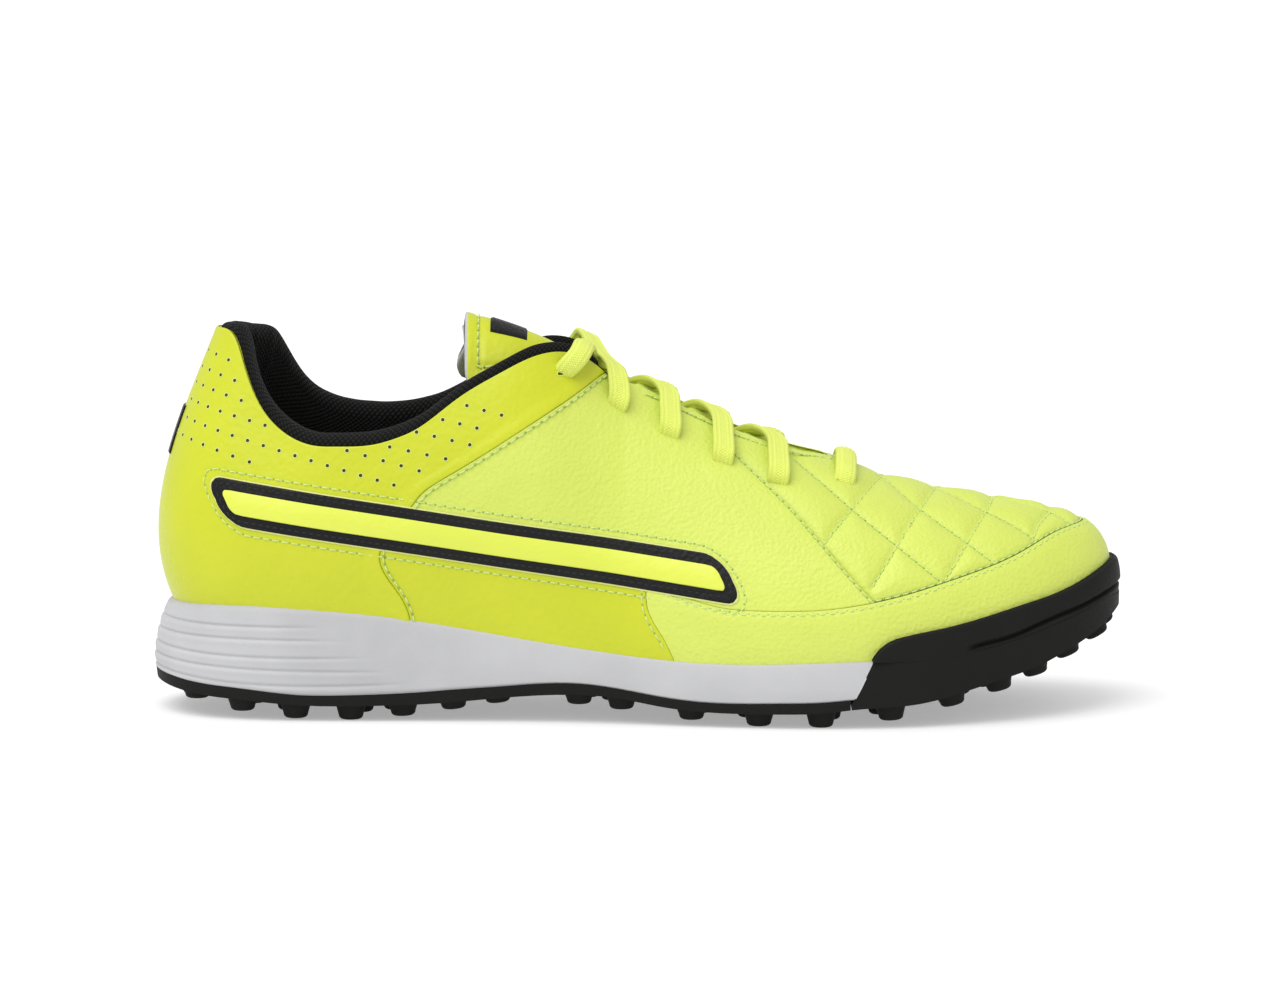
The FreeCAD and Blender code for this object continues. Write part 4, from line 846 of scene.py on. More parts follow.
def band_patch(side, inset):
    """A bar that is straight in the side view, drawn in by inset, with rounded corners."""
    rear_top, front_top, rear_low = (np.array(p, float) for p in BAND)
    run = front_top - rear_top
    length = np.linalg.norm(run)
    run = run / length
    across = np.array([run[1], -run[0]])
    height = (rear_low - rear_top) @ across
    slant = (rear_low - rear_top) @ run
    radius = max(BAND_CORNER - inset, 1.5)

    def at(a, b):
        a, b = np.broadcast_arrays(np.asarray(a, float), np.asarray(b, float))
        reach = length - 2 * inset
        e = np.minimum(a, 1 - a) * reach
        cut = np.where(e < radius, radius - np.sqrt(np.maximum(radius**2 - (radius - e)**2, 0)), 0)
        half = height / 2 - inset
        down = height / 2 - (2 * b - 1) * (half - cut)
        x, z = (rear_top + run * (inset + a * reach)[..., None] + across * down[..., None]
                + run * (slant * down / height)[..., None]).reshape(-1, 2).T
        return locate(side, x, z).reshape(*a.shape, 2)
    return at


def puff(height, width):
    """A cushioned face: it rises from its rims to a height over that width."""
    return lambda p, away: height * smooth(np.minimum.reduce(away) / width)


# ---- stitching ----------------------------------------------------------------------------------

def even(places, pitch):
    """Points, normals and headings every pitch along a line of (s, v) places."""
    p = base(places[:, 0], places[:, 1])
    gone = gone_along(p)
    count = max(2, int(round(gone[-1] / pitch)))
    want = (np.arange(count) + 0.5) / count * gone[-1]
    at = np.stack([np.interp(want, gone, places[:, k]) for k in range(2)], -1)
    p, n = base(at[:, 0], at[:, 1]), normal(at[:, 0], at[:, 1])
    heading = unit(np.gradient(p, axis=0))
    heading = unit(heading - n * np.einsum("ij,ij->i", heading, n)[:, None])
    return p, n, heading


STITCH_PITCH, STITCH_THICK, PRICK_R = 2.9, 0.5, 0.36


def capsule(length, thick):
    """One stitch: a thread that arches out of the leather and dives back in, as local points and faces."""
    along = np.array([-0.5, -0.42, -0.2, 0.0, 0.2, 0.42, 0.5])
    fat = np.array([0.15, 0.75, 1.0, 1.0, 1.0, 0.75, 0.15]) * thick / 2
    turn = np.arange(6) / 6 * 2 * math.pi
    rise = thick * (0.32 - 1.1 * np.abs(along * 2) ** 3)
    rings = np.stack([np.repeat((along * length)[:, None], 6, 1), fat[:, None] * np.cos(turn),
                      rise[:, None] + fat[:, None] * np.sin(turn)], -1)
    j = np.arange(6)
    return rings.reshape(-1, 3), [*ring_faces(7, 6), j[::-1], 36 + j]


def plug(rim, depth, start=0):
    """A thin disc under a rim of points, whose indices begin at start: its points, and its faces with
    the two caps last."""
    k = np.arange(len(rim))
    walls = ring_faces(2, len(rim), flip=True) + start
    return np.concatenate([rim, rim - [0, 0, depth]]), [*walls, start + k, start + len(rim) + k[::-1]]


def pricked(radius):
    """The hole between two stitches: a disc in the leather's face."""
    turn = np.arange(8) / 8 * 2 * math.pi
    return plug(np.stack([radius * np.cos(turn), radius * np.sin(turn), 0 * turn + 0.03], -1), 0.25)


def stamped(frames, shape, start=0):
    """Copies of a local shape at each frame (points, normals, headings)."""
    (p, n, heading), (local, faces) = frames, shape
    axes = np.stack([heading, np.cross(n, heading), n], 1)
    points = (p[:, None] + np.einsum("kc,icd->ikd", local, axes)).reshape(-1, 3)
    moved = [[start + i * len(local) + k for k in face] for i in range(len(p)) for face in faces]
    return points, moved


def joined(rows):
    return tuple(np.concatenate([row[k] for row in rows]) for k in range(3))


def stitch_row(name, rows, material, body="shoe", pitch=STITCH_PITCH, hole_shade=PRICK_SHADE):
    """Thread along rows of (points, normals, headings), with a pricked hole between each two stitches: a disc
    whose colour is given, by default a darker green that is painted shade in the needle hole.
    """
    thread_points, thread = stamped(joined(rows), capsule(pitch * 0.8, STITCH_THICK))
    between = [((p[:-1] + p[1:]) / 2, unit(n[:-1] + n[1:]), unit(h[:-1] + h[1:])) for p, n, h in rows]
    dot_points, dots = stamped(joined(between), pricked(PRICK_R), len(thread_points))
    obj = add_mesh(name, np.concatenate([thread_points, dot_points]), thread + dots, [material, hole_shade],
                   [0] * len(thread) + [1] * len(dots))
    return settle(obj, body=body)


def shifted(row, amount, rise=0.0):
    """A stitch line moved sideways over the skin."""
    p, n, heading = row
    return p + np.cross(n, heading) * amount + n * rise, n, heading


def along(curve, pitch=STITCH_PITCH, amount=0.0, rise=0.0, part=(0.0, 1.0)):
    """A stitch row along a curve of (s, v), moved sideways and out."""
    return shifted(even(curve(np.linspace(*part, 160)), pitch), amount, rise)


# The vamp's quilting: two families of lines that cross each other and meet over the ridge at RIDGE_AT, as
# (x, z) stations in the side view, each with the ridge point that it starts from or ends at.
RIDGE_AT = (73.1, 89.7, 107.4, 124.4)
QUILT_LINES = (
    (None, ((47.5, 76.9), (63.5, 64.3), (77.7, 53.2), (92.2, 41.6)), None),
    (0, ((84.9, 62.7), (98.2, 53.7), (107.9, 46.5)), None),
    (1, ((104.0, 61.4), (116.1, 55.5), (120.0, 52.7)), None),
    (2, ((121.5, 60.6), (131.5, 56.0)), None),
    (None, ((55.3, 53.7), (63.8, 62.8)), 0),
    (None, ((69.6, 41.6), (79.5, 55.5)), 1),
    (None, ((91.5, 42.6), (99.5, 53.9)), 2),
    (None, ((119.0, 52.2), (121.6, 57.0)), 3),
)
EYESTAY_MARGIN, THROAT_STITCH_FRONT = 3.4, 59.5


def on_ridge(side, x):
    """The (s, v) of the ridge's point at x: beyond the spine's end it lies on the toe tip's own section."""
    if x < ray(0.0)[1]:
        return np.array([side * solve(lambda u: ray(u)[1] - x, 0.02, 0.75), 1.0])
    return np.array([0.0, solve(lambda v: base(0.0, v)[..., 0] - x, 0.4, 0.999)])


def quilt_line(side, first, points, last):
    """One quilting line on one side, with the ridge points that it meets."""
    ends = [None if k is None else on_ridge(side, RIDGE_AT[k]) for k in (first, last)]
    return seam(side, points, *ends)


def throat_line(side):
    """The stitch line along the eyestay's edge and round the front of the throat to the ridge."""
    nose = solve(lambda u: ray(u)[1] - THROAT_FRONT, 0.05, 0.9)
    s = side * np.linspace(at_x(side, 2.0), nose, 14)
    rail = np.stack([s, drop(s, edge_v(s), EYESTAY_MARGIN)], -1)
    return line(np.concatenate([rail, on_ridge(side, THROAT_STITCH_FRONT)[None]]))


quilt = {side: [quilt_line(side, *parts) for parts in QUILT_LINES] for side in BOTH}
quilt_paths = [skin(*curve(np.linspace(0, 1, 24)).T) for side in quilt for curve in quilt[side]]
throat = {side: throat_line(side) for side in BOTH}
front_paths = {side: skin(*patches[side]["front"](np.linspace(0, 1, 60)).T) for side in BOTH}
rand_path = skin(*rand_top(np.linspace(0, 1, 200)).T)


def nearest(points, paths):
    return np.minimum.reduce([near_line(points, path) for path in paths])


def pressed(paths, depth, width):
    """A soft groove along stitched lines."""
    return lambda p: depth * np.exp(-(nearest(p, paths) / width) ** 2)


def quilted(p):
    """Cushions between the quilting lines, pulled down along the stitches."""
    d = nearest(p, quilt_paths + list(front_paths.values()) + [rand_path])
    return 1.5 * np.exp(-d / 3.2) + 0.15 * np.exp(-(d / 0.7) ** 2) - 0.35


BAND_PITCH = 2.2


def around_band(side, inset, pitch):
    """A stitch row round the side band, drawn in by inset."""
    rim, t = band_patch(side, inset), np.linspace(0, 1, 200)
    middle = t[10:-10]
    loop = np.concatenate([rim(t, 0 * t), rim(0 * middle + 1, middle), rim(t[::-1], 0 * t + 1),
                           rim(0 * middle, middle[::-1])])
    return even(loop, pitch)


# ---- collar -------------------------------------------------------------------------------------

PAD = Curve((-140, 6.4), (-60, 6.4), (-40, 4.6), (-25, 3.2), (-9, 2.2))
ROLL = Curve((-126, 2.7), (-116, 4.5), (-104, 4.8), (-75, 4.8), (-45, 4.8), (-25, 4.4), (-9, 4.2))
INNER_HUMP, HUMP_AT = 1.6, -113.0
UPRIGHT = Curve((-140, 0.0), (-80, 0.0), (-50, 0.6), (-25, 1.4), (-9, 1.6))
LINING_FACE, COLLAR_OUT, COLLAR_IN = -3.6, -1.52, -1.58
COLLAR_END, COLLAR_END_GAP, COLLAR_ROWS = -9.0, 0.004, 300
# Heights of the cushion's points against the leather's edge, behind the leather and down the inside.
BEHIND_LEATHER = np.array([-4.2, -2.4, -1.2])
DOWN_INSIDE = np.array([-1.5, -3, -5, -7, -9.5, -12, -14, -16, -18, -20, -22, -24, -26, -28, -30])


def collar_points(s, height, off):
    """Points by the leather's top edge: height above it along the skin, off outwards."""
    v = edge_v(s)
    p, n = base(s, v), normal(s, v)
    up = unit(unit(base(s, np.minimum(v + 0.01, 1.0)) - base(s, v - 0.01))
              + UPRIGHT(p[..., :1]) * np.array([0.0, 0.0, 1.0]))
    below = drop(s, v, np.maximum(-height, 0.0))
    under = base(s, below) + normal(s, below) * off[..., None]
    over = p + up * height[..., None] + n * off[..., None]
    return np.where((height <= 0)[..., None], under, over)


def make_collar():
    """The padded collar: one closed cushion of black mesh, from behind the leather over the roll and down
    to its hem inside, and back up on its hidden side."""
    first, last = at_x(LATERAL, COLLAR_END), at_x(MEDIAL, COLLAR_END)
    rows, run = COLLAR_ROWS, np.linspace(0, 1, COLLAR_ROWS + 1)[:, None]
    s = -(first + COLLAR_END_GAP) - (2 - first - last - 2 * COLLAR_END_GAP) * run
    x = base(s, edge_v(s))[..., 0]
    hump = INNER_HUMP * np.exp(-((x - HUMP_AT) / 6.0) ** 2) * (s < -1)
    rise, full = ROLL(x) + hump, COLLAR_IN - PAD(x)
    turn = np.linspace(0, math.pi, 17)
    up_again = DOWN_INSIDE[::-1][1:-1]
    out = np.full_like(x, COLLAR_OUT)

    def inner_face(h):
        return full + (LINING_FACE - full) * smooth((-14 - h) / 14)

    roll_h = rise * np.sin(turn)
    roll_o = (out + full) / 2 + (out - full) / 2 * np.cos(turn)
    heights = np.concatenate([BEHIND_LEATHER + 0 * x, roll_h, DOWN_INSIDE + 0 * x, up_again + 0 * x], 1)
    hidden = -1.6 - 0.9 * smooth((-8 - up_again) / 18) + 0 * x
    offs = np.concatenate([out + 0 * BEHIND_LEATHER, roll_o, inner_face(DOWN_INSIDE), hidden], 1)
    count = heights.shape[1]
    crease = np.sin(run * 210) * np.sin(run * 61 + 1.7) * 0.16 * smooth((heights + 16) / 10)
    tuck = 0.35 * np.exp(-((heights + 9) / 3.0) ** 2) * (offs < full * 0.7)
    s_grid = np.broadcast_to(s, heights.shape)
    points = collar_points(s_grid, heights, offs + crease + tuck * 0.6)
    run_along, run_around = gone_along(points[:, 10]), gone_along(points[rows // 2])
    uv = np.stack(np.broadcast_arrays(run_along[:, None], run_around[None]), -1).reshape(-1, 2) * MM
    j = np.arange(count)
    faces = [*ring_faces(rows + 1, count, flip=True), j, rows * count + j[::-1]]
    obj = closed_piece("collar", points.reshape(-1, 3), faces, MESH_BLACK, "mesh_black",
                       ["collar_lining", "collar_foam"], uv=uv)


# ---- tongue -------------------------------------------------------------------------------------

TONGUE_Z = Curve((-51.5, 119.8), (-35, 114.4), (-22, 108.4), (-10, 100.8), (0, 94.8), (10, 90.4),
                 (30, 80.8), (45, 75.0), (60, 68.8), (68, 65.4))
TONGUE_DROP = Curve((-51.5, 43.6), (-44, 39.2), (-36, 34.4), (-28, 31.8), (-22, 31), (-8, 32.6), (0, 31.2),
                    (8, 29.5), (16, 27), (24, 22.6), (32, 19.2), (40, 17.2), (48, 15), (56, 12.6),
                    (68, 10.5))
TONGUE_HALF = Curve((-51.5, 17.5), (-44, 17.2), (-36, 16.2), (-28, 15.2), (-20, 16), (-10, 18), (0, 19.5),
                    (15, 21), (60, 21), (68, 19))
TONGUE_SHIFT = Curve((-51.5, -2.2), (-36, -1.5), (-24, -0.6), (-10, 0), (0, 0))
TONGUE_REAR, TONGUE_FRONT, TONGUE_HINGE = -51.5, 66.0, -27.0
TONGUE_THICK, TONGUE_CORNER, INNER_CORNER, BOUND_EDGE = 5.1, 3.0, 3.2, 1.1
TONGUE_STITCH, STITCH_REAR, STITCH_FRONT = 3.6, -47.6, -20.0
# The face's length per step across, as the tongue curves down at its sides.
SIDE_STRETCH = 1.3


def tongue_face(x, y):
    return TONGUE_Z(x) - TONGUE_DROP(x) * (y / 25) ** 2


def tongue_frame(x, across):
    """Points and normals of the tongue's face: across runs from -1 to 1 over its width."""
    y, e = across * TONGUE_HALF(x), 0.01
    n = unit(np.stack([-(tongue_face(x + e, y) - tongue_face(x - e, y)) / (2 * e),
                       -(tongue_face(x, y + e) - tongue_face(x, y - e)) / (2 * e), 1 + 0 * x], -1))
    return np.stack([x, y + SPINE_Y(x) + TONGUE_SHIFT(x), tongue_face(x, y)], -1), n


def make_tongue():
    """The padded tongue in one piece: leather above, a pale bound edge, and lining below."""
    xs = np.concatenate([TONGUE_REAR + np.array([0, 0.1, 0.35, 0.8, 1.5]),
                         np.arange(-49, TONGUE_FRONT - 1, 1.4), [TONGUE_FRONT - 0.5, TONGUE_FRONT]])
    across = np.sin(np.linspace(-math.pi / 2, math.pi / 2, 61))
    x, a = np.meshgrid(xs, across, indexing="ij")
    from_rear = np.clip((x - TONGUE_REAR) / TONGUE_CORNER, 0, 1)
    cut = TONGUE_CORNER * (1 - np.sqrt(np.maximum(1 - (1 - from_rear) ** 2, 0)))
    a = a * (1 - cut / TONGUE_HALF(x))
    p, n = tongue_frame(x, a)
    p[..., 0] -= INNER_CORNER * smooth((a - 0.6) / 0.3) * smooth((-36 - x) / 14)
    fade = 1 - 0.55 * np.abs(a) ** 4
    away = np.minimum((1 - np.abs(a)) * TONGUE_HALF(x) * SIDE_STRETCH, x - TONGUE_REAR)
    swell = 0.3 * smooth(away / 7) * np.sin((x - TONGUE_REAR) / 16) ** 2
    groove = 0.5 * np.exp(-((away - TONGUE_STITCH) / 0.7) ** 2) * (x < 20)
    top = -rounded(away, 0.7) + swell - groove
    low = rounded(away, 0.9) - TONGUE_THICK * fade + 0.4 * np.exp(-((away - TONGUE_STITCH) / 0.9) ** 2)
    outer, inner = p + n * top[..., None], p + n * np.minimum(low, top - 0.4)[..., None]
    points, faces = closed_sheet(outer, inner)
    edge = away < BOUND_EDGE
    bound = (edge[:-1, :-1] & edge[1:, 1:]).ravel()
    walls = np.ones(len(faces) - 2 * len(bound), int)
    marks = np.concatenate([bound.astype(int), np.where(bound, 1, 2), walls])
    obj = add_mesh("tongue", points, faces, [SMOOTH, BINDING, LINING_FABRIC], marks)
    fix_normals(obj)
    crossing_joint(obj)
    settle(obj, [f"tongue_{part}" for part in ("face", "foam", "lining")]
           + [f"tongue_top_{part}" for part in ("face", "foam", "lining")], body=None)

    stitch_x = np.concatenate([np.full(20, STITCH_REAR), np.linspace(STITCH_REAR, STITCH_FRONT, 60)])
    rows = []
    for sign in (-1, 1):
        at_a = sign * (1 - TONGUE_STITCH / (SIDE_STRETCH * TONGUE_HALF(stitch_x)))
        at_a[:20] *= np.linspace(0, 1, 20)
        rows.append(tongue_row(stitch_x, at_a))
    stitches = stitch_row("tongue_stitches", rows, THREAD, body=None)
    crossing_joint(stitches)


def tongue_row(x, a):
    """A stitch row along a line on the tongue's face."""
    gone = gone_along(tongue_frame(x, a)[0])
    want = np.arange(0.5, gone[-1] / STITCH_PITCH) * STITCH_PITCH
    xx, aa = np.interp(want, gone, x), np.interp(want, gone, a)
    p, n = tongue_frame(xx, aa)
    heading = unit(np.gradient(p, axis=0))
    return p + n * 0.05, n, heading


def crossing_joint(obj):
    """Bakes a piece's placement into its mesh; the point of the tongue's fold is worked out but not used."""
    fold = to_world([TONGUE_HINGE, 0, TONGUE_Z(TONGUE_HINGE)])
    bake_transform(obj)


def make_badge():
    """The plain patch on the tongue's top."""
    xs, across = np.linspace(-44, -33, 22), np.linspace(-0.42, 0.42, 24)
    x, a = np.meshgrid(xs, across, indexing="ij")
    p, n = tongue_frame(x, a)
    away = np.minimum.reduce(sides_away(p))
    top = 0.7 - rounded(away, 0.45)
    sheet = closed_sheet(p + n * top[..., None], p + n * 0.05)
    closed_piece("tongue_patch", *sheet, BLACK, "badge", ["tongue_badge"], body="tongue_top")


# ---- lace ---------------------------------------------------------------------------------------

LACE_WIDTH, LACE_THICK = 6.6, 2.2
LACE_OVER, LACE_UNDER = 3.3, 0.9
OVER_LEATHER, OVER_COLLAR, BAR_ARCH = 0.9, 3.6, 1.3


def ribbon(points, steps=70):
    """A flat woven strap along a smooth line, its width along the eyestays: a grid round its section."""
    path = line(points)
    t = np.linspace(0, 1, steps + 1)
    p = path(t)
    heading = unit(path(np.minimum(t + 0.01, 1)) - path(np.maximum(t - 0.01, 0)))
    stay = unit(np.stack([1 + 0 * t, 0 * t, TOP_Z[LATERAL].slope(p[:, 0])], -1))
    side = unit(stay - heading * np.einsum("ij,ij->i", stay, heading)[:, None])
    up = unit(np.cross(side, heading))
    turn = np.linspace(0, 2 * math.pi, 49)[:-1]
    w, h = np.cos(turn), np.sin(turn)
    flat_w = np.sign(w) * np.abs(w) ** 0.8 * LACE_WIDTH / 2
    flat_h = np.sign(h) * np.abs(h) ** 0.75 * LACE_THICK / 2
    rib = 1 + 0.16 * np.cos(flat_w * 2 * math.pi / 1.3)
    cup = 0.5 * (flat_w / (LACE_WIDTH / 2)) ** 2
    ring = (p[:, None] + side[:, None] * flat_w[None, :, None]
            + up[:, None] * (flat_h * rib - cup)[None, :, None])
    length = gone_along(p)
    girth = turn / (2 * math.pi) * 2 * (LACE_WIDTH + LACE_THICK)
    uv = np.stack(np.broadcast_arrays(girth[None], length[:, None]), -1).reshape(-1, 2) * MM
    j = np.arange(len(turn))
    return ring.reshape(-1, 3), [*ring_faces(steps + 1, len(turn)), j[::-1], steps * len(turn) + j], uv


def lace_routes():
    """The straps' lines: a straight bar over the first row, then two crossings between each two rows."""
    half = LACE_THICK / 2
    rows = {side: stations(side, EYELETS) for side in BOTH}
    a, b = plan(rows[LATERAL][0]), plan(rows[MEDIAL][0])
    share = np.array([0.1, 0.2, 0.32, 0.44, 0.56, 0.68, 0.8, 0.9])
    over = from_plan(a + (b - a) * share[:, None])
    bar = [skin(*rows[LATERAL][0], off) for off in (-4.4, -1.2)]
    bar += list(skin(*over.T, half + 0.4 + BAR_ARCH * np.sin(math.pi * share)))
    bar += [skin(*rows[MEDIAL][0], off) for off in (-1.2, -4.4)]
    return [bar] + [crossing(rows, row, side) for row in range(2, len(EYELETS)) for side in BOTH]


def crossing(rows, row, side):
    """One strap, from a row on one side to the next row down on the other side, over the tongue.

    It comes up from inside, under its eyestay, but from the last row it comes over the eyestay.
    """
    far, half = -side, LACE_THICK / 2
    lift = LACE_UNDER if side == LATERAL else LACE_OVER
    a, b = rows[side][row], rows[far][row - 1]
    xa, xb = EYELETS[row][0], EYELETS[row - 1][0]

    def over_edge(side, place, share, clear=OVER_LEATHER):
        """Points from an eyelet up its eyestay and over the leather's edge."""
        edge = edge_end(side, xa + share * (xb - xa))
        return [skin(*place, -2.0), skin(place[0], place[1] + 0.012, half + 0.3),
                skin(*((edge + place) / 2), half + 0.5 + clear), skin(*edge, half + clear)]

    if row == len(EYELETS) - 1:
        points = over_edge(side, a, 0.2, OVER_COLLAR)
    else:
        points = [skin(*a, -5.2), skin(*edge_end(side, xa + 0.35 * (xb - xa)), -4.6)]
    p, n = tongue_frame(np.float64(xa + 0.5 * (xb - xa)), np.float64(0))
    return points + [p + n * (lift + half)] + over_edge(far, b, 0.92)[::-1]


def make_laces():
    """The lace's visible straps, as one piece."""
    blocks, faces, uvs, start = [], [], [], 0
    for route in lace_routes():
        points, quads, uv = ribbon(route)
        blocks.append(points)
        uvs.append(uv)
        faces += [start + face for face in quads]
        start += len(points)
    closed_piece("laces", np.concatenate(blocks), faces, LACE, "lace", ["lace"], uv=np.concatenate(uvs))


# ---- sole ---------------------------------------------------------------------------------------

SOLE_SPLIT = ((63.6, 0.0), (63.6, 7.6), (70.4, 20.6), (73.0, 26.0))
# The midsole's grooves: each one's height along the shoe, and the x where it has faded out.
GROOVES = (
    (Curve((-145, 28.6), (-130, 28.3), (-88, 28.1)), -88),
    (Curve((-145, 24.8), (-127, 24.6), (-83, 24.0)), -83),
    (Curve((-145, 21.0), (-124, 19.5), (-78, 19.1)), -76),
    (Curve((-145, 17.6), (-124, 16.0), (-72, 14.9)), -70),
    (Curve((-145, 14.4), (-127, 12.0), (-66, 11.4)), -64),
)


def make_midsole():
    """The white foam wedge's visible wall, with its moulded grooves and bevelled rim."""
    t = np.concatenate([[0, 0.012, 0.04], np.linspace(0.06, 0.9, 74), [0.93, 0.955, 0.975, 0.99, 1.0]])
    a = np.linspace(0, 1, 620)
    x_guess = np.full(len(t), 66.0)
    for _ in range(4):
        z = JOINT_Z(x_guess) + t * (FEATHER_Z(x_guess) - JOINT_Z(x_guess))
        x_guess = np.interp(z, [p[1] for p in SOLE_SPLIT], [p[0] for p in SOLE_SPLIT]) - 0.15
    ends = {side: solve(lambda u: ray(side * u)[0] - x_guess, 0 * x_guess + 0.02, 0.98)
            for side in BOTH}
    s = -ends[LATERAL][None] - a[:, None] * (2 - ends[LATERAL] - ends[MEDIAL])[None]
    tt = np.broadcast_to(t, s.shape)
    x, cx, cy, dx, dy, r = ray(s)
    low, high = JOINT_Z(x) + 0.05, FEATHER_Z(x) - 0.05
    z = low + tt * (high - low)
    out = FLARE(x) * WALL(1 - tt)
    for level, stop in GROOVES:
        away = np.abs(z - level(x))
        fade = smooth((stop - x) / 22)
        out = out - 0.55 * fade * np.exp(-(away / 0.42) ** 2)
        out = out + 0.15 * fade * np.exp(-((z - level(x) + 1.3) / 0.7) ** 2)
    out = out - 1.1 * smooth((tt - 0.93) / 0.07) - 0.5 * smooth((0.04 - tt) / 0.04)
    outer = np.stack([x + dx * out, cy + dy * (r + out), z], -1)
    inset = -4.0 * np.sin(math.pi * np.clip(tt, 0, 1)) ** 0.3 - 0.3
    inner = np.stack([x + dx * (out + inset), cy + dy * (r + out + inset), z], -1)
    closed_piece("midsole_wall", *closed_sheet(outer, inner), FOAM_WHITE, "midsole_foam", ["midsole"])


# ---- perforations, slits and the toe bumper ------------------------------------------------------

# Rows of punched holes under the collar: first and last hole in the side view, and how many.
HOLE_ROWS = (
    ((-139.4, 84.3), (-115.5, 77.0), 8), ((-135.1, 88.5), (-72.2, 70.8), 15),
    ((-133.9, 93.8), (-110.9, 87.7), 7), ((-86.2, 80.8), (-64.7, 75.0), 5),
    ((-132.4, 98.9), (-118.2, 94.7), 5), ((-73.5, 81.9), (-56.8, 78.6), 4),
    ((-130.6, 103.6), (-120.3, 100.4), 4), ((-65.5, 86.3), (-49.6, 82.8), 4),
    ((-128.8, 108.4), (-122.3, 106.2), 3), ((-57.7, 90.0), (-47.5, 87.7), 3),
    ((-50.5, 94.2), (-40.2, 91.5), 3),
)
# An opening's length and width, its rim's radius and the rim's height.
HOLE_SIZE, SLIT_SIZE = (1.0, 1.0, 0.15, 0.12), (4.8, 0.8, 0.2, 0.18)


def hole_frames(side):
    """Points, normals and headings of the holes on one side, spaced evenly over the leather."""
    found = []
    for first, last, count in HOLE_ROWS:
        x, z = np.linspace(first, last, 40).T
        places = locate(side, x, z)
        gone = gone_along(base(*places.T))
        want = np.linspace(0, gone[-1], count)
        found.append(np.stack([np.interp(want, gone, places[:, k]) for k in range(2)], -1))
    spots = np.concatenate(found)
    p, n = base(*spots.T), normal(*spots.T)
    return p, n, unit(np.cross(n, np.array([0.0, 0.0, 1.0])))


def rimmed(length, width, tube, height):
    """An opening in a rolled rim, as local points and faces: a stadium of that length and width. The last two
    faces are the opening's: the disc that is painted dark as the opening's shade."""
    turn = np.arange(20) / 20 * 2 * math.pi
    shift = np.sign(np.cos(turn)) * max(length - width, 0) / 2
    out_x, out_y = np.cos(turn), np.sin(turn)
    round_tube = np.arange(6) / 6 * 2 * math.pi
    grow = width / 2 + tube * (1 + np.cos(round_tube))
    rim = np.stack([shift[:, None] + out_x[:, None] * grow, out_y[:, None] * grow,
                    height * np.sin(round_tube) + 0 * out_x[:, None]], -1).reshape(-1, 3)
    disc = np.stack([shift + out_x * (width / 2 + tube), out_y * (width / 2 + tube), 0 * turn + 0.04], -1)
    points, faces = plug(disc, 0.3, len(rim))
    return np.concatenate([rim, points]), [*ring_faces(20, 6, flip=True, closed=True), *faces]


def openings(name, frames, shape, slot, material):
    """Rimmed openings at each frame, as one piece. Each one's two caps are painted dark: painted shade
    standing for the inside of the opening.
    """
    points, moved = stamped(frames, shape)
    marks = ([0] * (len(shape[1]) - 2) + [1, 1]) * len(frames[0])
    return closed_piece(name, points, moved, [material, HOLE_SHADE], slot, marks=marks)


def slit_frames(side):
    """The eyelet slits, along the eyestay."""
    spots = locate(side, *np.array(EYELETS).T)
    run = base(spots[:, 0] - side * 0.01, spots[:, 1]) - base(spots[:, 0] + side * 0.01, spots[:, 1])
    return base(*spots.T), normal(*spots.T), unit(run)


BUMPER_BACK, BUMPER_EDGE, BUMPER_GAP = 69.6, 2.0, 0.1
GROOVE_BACK, GROOVE_DEEP = 95.0, 1.75
TOE_CAP_Z = Curve((69.4, 20.3), (70.6, 22.2), (72.4, 24.2), (75.2, 26.0), (79.5, 27.3), (91.6, 29.4),
                  (103.7, 32.0), (115.8, 35.0), (127.9, 38.1), (140, 43.0), (143, 44.3))
BUMPER_GROOVE = Curve((95, 22.9), (98.5, 24.0), (110, 26.6), (116.8, 29.0), (124.8, 31.8), (130.3, 33.5),
                      (137, 36.1), (144.4, 38.9))


def make_bumper():
    """The rubber that climbs over the toe: a rounded top edge and one moulded groove."""
    reach = solve(lambda u: ray(LATERAL * u)[0] - BUMPER_BACK, 0.05, 0.9)
    s = np.linspace(-reach, reach, 560)[:, None]
    x = ray(s)[0]
    top = solve(lambda v: base(s, v)[..., 2] - TOE_CAP_Z(base(s, v)[..., 0]), -0.02 + 0 * s, 0.6)
    t = np.concatenate([np.linspace(0, 0.9, 80), 1 - 0.1 * np.linspace(1, 0, 10)[1:] ** 2])
    v = top * t
    far = FLARE(x) + (BUMPER_EDGE + 0.12 - FLARE(x)) * t + BUMPER_GAP
    p = base(s, v)
    along_up = gone_along(p.transpose(1, 0, 2)).T
    left = along_up[:, -1:] - along_up
    far = far - rounded(left, 0.9) - rounded(along_up, 0.35)
    below = p[..., 2] - BUMPER_GROOVE(x)
    grooved = smooth((x - GROOVE_BACK) / 6)
    far = far - grooved * (GROOVE_DEEP * np.exp(-(below / 0.65) ** 4) + 0.35 * smooth(-below / 1.2))
    n = normal(s, v)
    sheet = closed_sheet(p + n * far[..., None], p + n * BUMPER_GAP)
    closed_piece("toe_bumper_wall", *sheet, RUBBER, "outsole_rubber", ["toe_bumper"])


# ---- making -------------------------------------------------------------------------------------

surround()

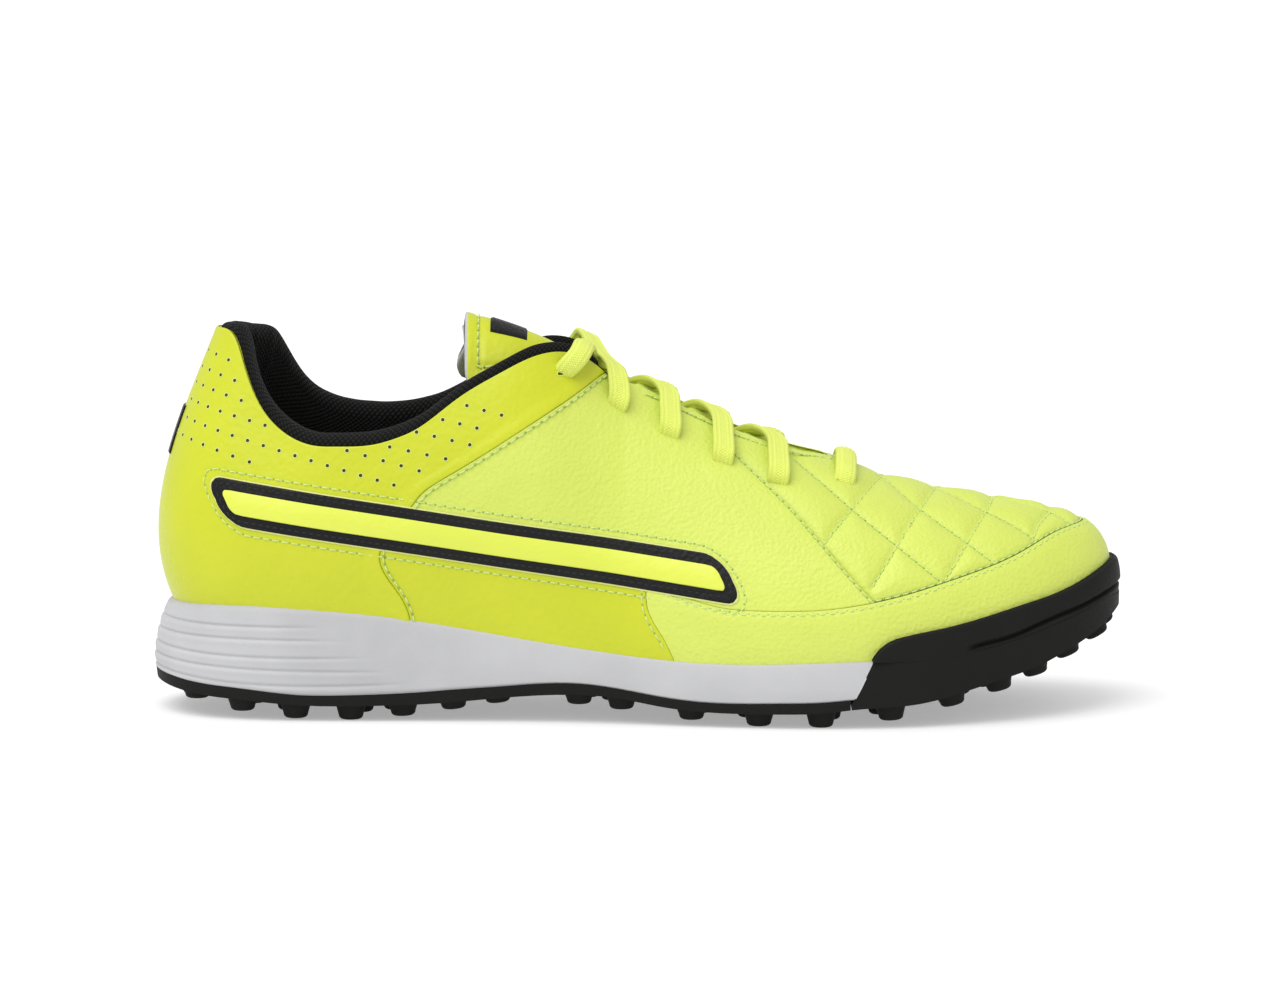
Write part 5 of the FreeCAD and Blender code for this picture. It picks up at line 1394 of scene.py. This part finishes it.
LEDGE = 0.3
SEAM_PRESS = 0.35, 1.6
for side_name, side in SIDES.items():
    part = patches[side]
    panel(f"quarter_{side_name}", part["quarter"], LIGHT, "leather_light", [f"quarter_{side_name}"],
          relief=pressed([front_paths[side]], *SEAM_PRESS))
    panel(f"midfoot_panel_{side_name}", part["middle"], SMOOTH, "leather_bright",
          [f"midfoot_panel_{side_name}"], fine=(True, True, False, True))
    panel(f"heel_panel_{side_name}", part["heel"], SMOOTH, "leather_bright", [f"heel_panel_{side_name}"],
          fine=(True, True, False, True), raise_by=ledge(1, LEDGE, 3.0), step=1.0)
    openings(f"heel_holes_{side_name}", hole_frames(side), rimmed(*HOLE_SIZE), "leather_bright", CUT)
    openings(f"lace_slits_{side_name}", slit_frames(side), rimmed(*SLIT_SIZE), "leather_light", LIGHT)
    panel(f"side_band_edge_{side_name}", band_patch(side, -0.4), CUT, "leather_light", level=0.45, thick=0.4,
          radius=0.3, step=2.4)
    panel(f"side_band_trim_{side_name}", band_patch(side, 0.0), BLACK, "band_black",
          [f"side_band_trim_{side_name}"], level=0.78, thick=0.7, radius=0.6, step=1.6)
    panel(f"side_band_{side_name}", band_patch(side, BAND_BORDER), BAND_YELLOW, "band_yellow",
          [f"side_band_{side_name}"], level=1.15, thick=0.35, radius=0.35, step=1.6, raise_by=puff(0.3, 3.0))
panel("rand", rand_at, LIGHT, "leather_light", ["rand"], fine=(True, True, False, True), radius=0.25,
      raise_by=ledge(3, LEDGE, 8.0), size=(330.0, 26.0), relief=pressed([rand_path], *SEAM_PRESS))
panel("vamp", vamp_patch(), LIGHT, "leather_light", ["vamp"], step=0.85, size=(210.0, 62.0), relief=quilted,
      radius=0.25)
panel("heel_patch", heel_patch_at, BLACK, "badge", ["heel_patch"], level=0.6, thick=0.55, radius=0.4,
      step=0.8)

GROOVED, TRIM_LEVEL = -1.15, 0.72
for side_name, side in SIDES.items():
    part = patches[side]
    flip = -side
    rows = [along(curve, rise=GROOVED) for curve in quilt[side]]
    rows.append(along(part["front"], amount=flip * 0.8, rise=-0.15))
    rows.append(along(throat[side], rise=0.25))
    if side == LATERAL:
        rows.append(along(rand_top, amount=0.55, rise=-0.55))
        rows.append(along(rand_top, amount=-1.2, rise=0.05))
    stitch_row(f"light_stitches_{side_name}", rows, THREAD)
    heel_rows = [along(part["heel_high"], amount=-flip * 1.2, rise=LEDGE),
                 along(part["heel_low"], amount=-flip * 1.2, rise=LEDGE, part=(0.15, 1.0)),
                 along(part["mid_front"], amount=flip * 1.4, part=(0.3, 1.0)),
                 around_band(side, -2.2, STITCH_PITCH)]
    stitch_row(f"heel_stitches_{side_name}", heel_rows, THREAD)
    band_row = shifted(around_band(side, 1.6, BAND_PITCH), 0, TRIM_LEVEL)
    stitch_row(f"band_stitches_{side_name}", [band_row], THREAD_BLACK, pitch=BAND_PITCH,
               hole_shade=THREAD_BLACK)

make_collar()
make_tongue()
make_badge()
make_laces()
make_midsole()
make_bumper()

# Hidden or rigid parts keep their CAD solids, and only get a material.
for material, nodes in ((RUBBER, ("outsole_rear", "outsole_front")), (BOARD_CLOTH, ("strobel_board",)),
                        (SOCK, ("sockliner",)), (LINING_FABRIC, ("forefoot_lining", "heel_lining")),
                        (STIFF, ("heel_counter", "toe_puff", "eyestay_reinforcement_lateral",
                                 "eyestay_reinforcement_medial"))):
    for node in nodes:
        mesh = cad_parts[node].data
        mesh.materials.clear()
        mesh.materials.append(material)
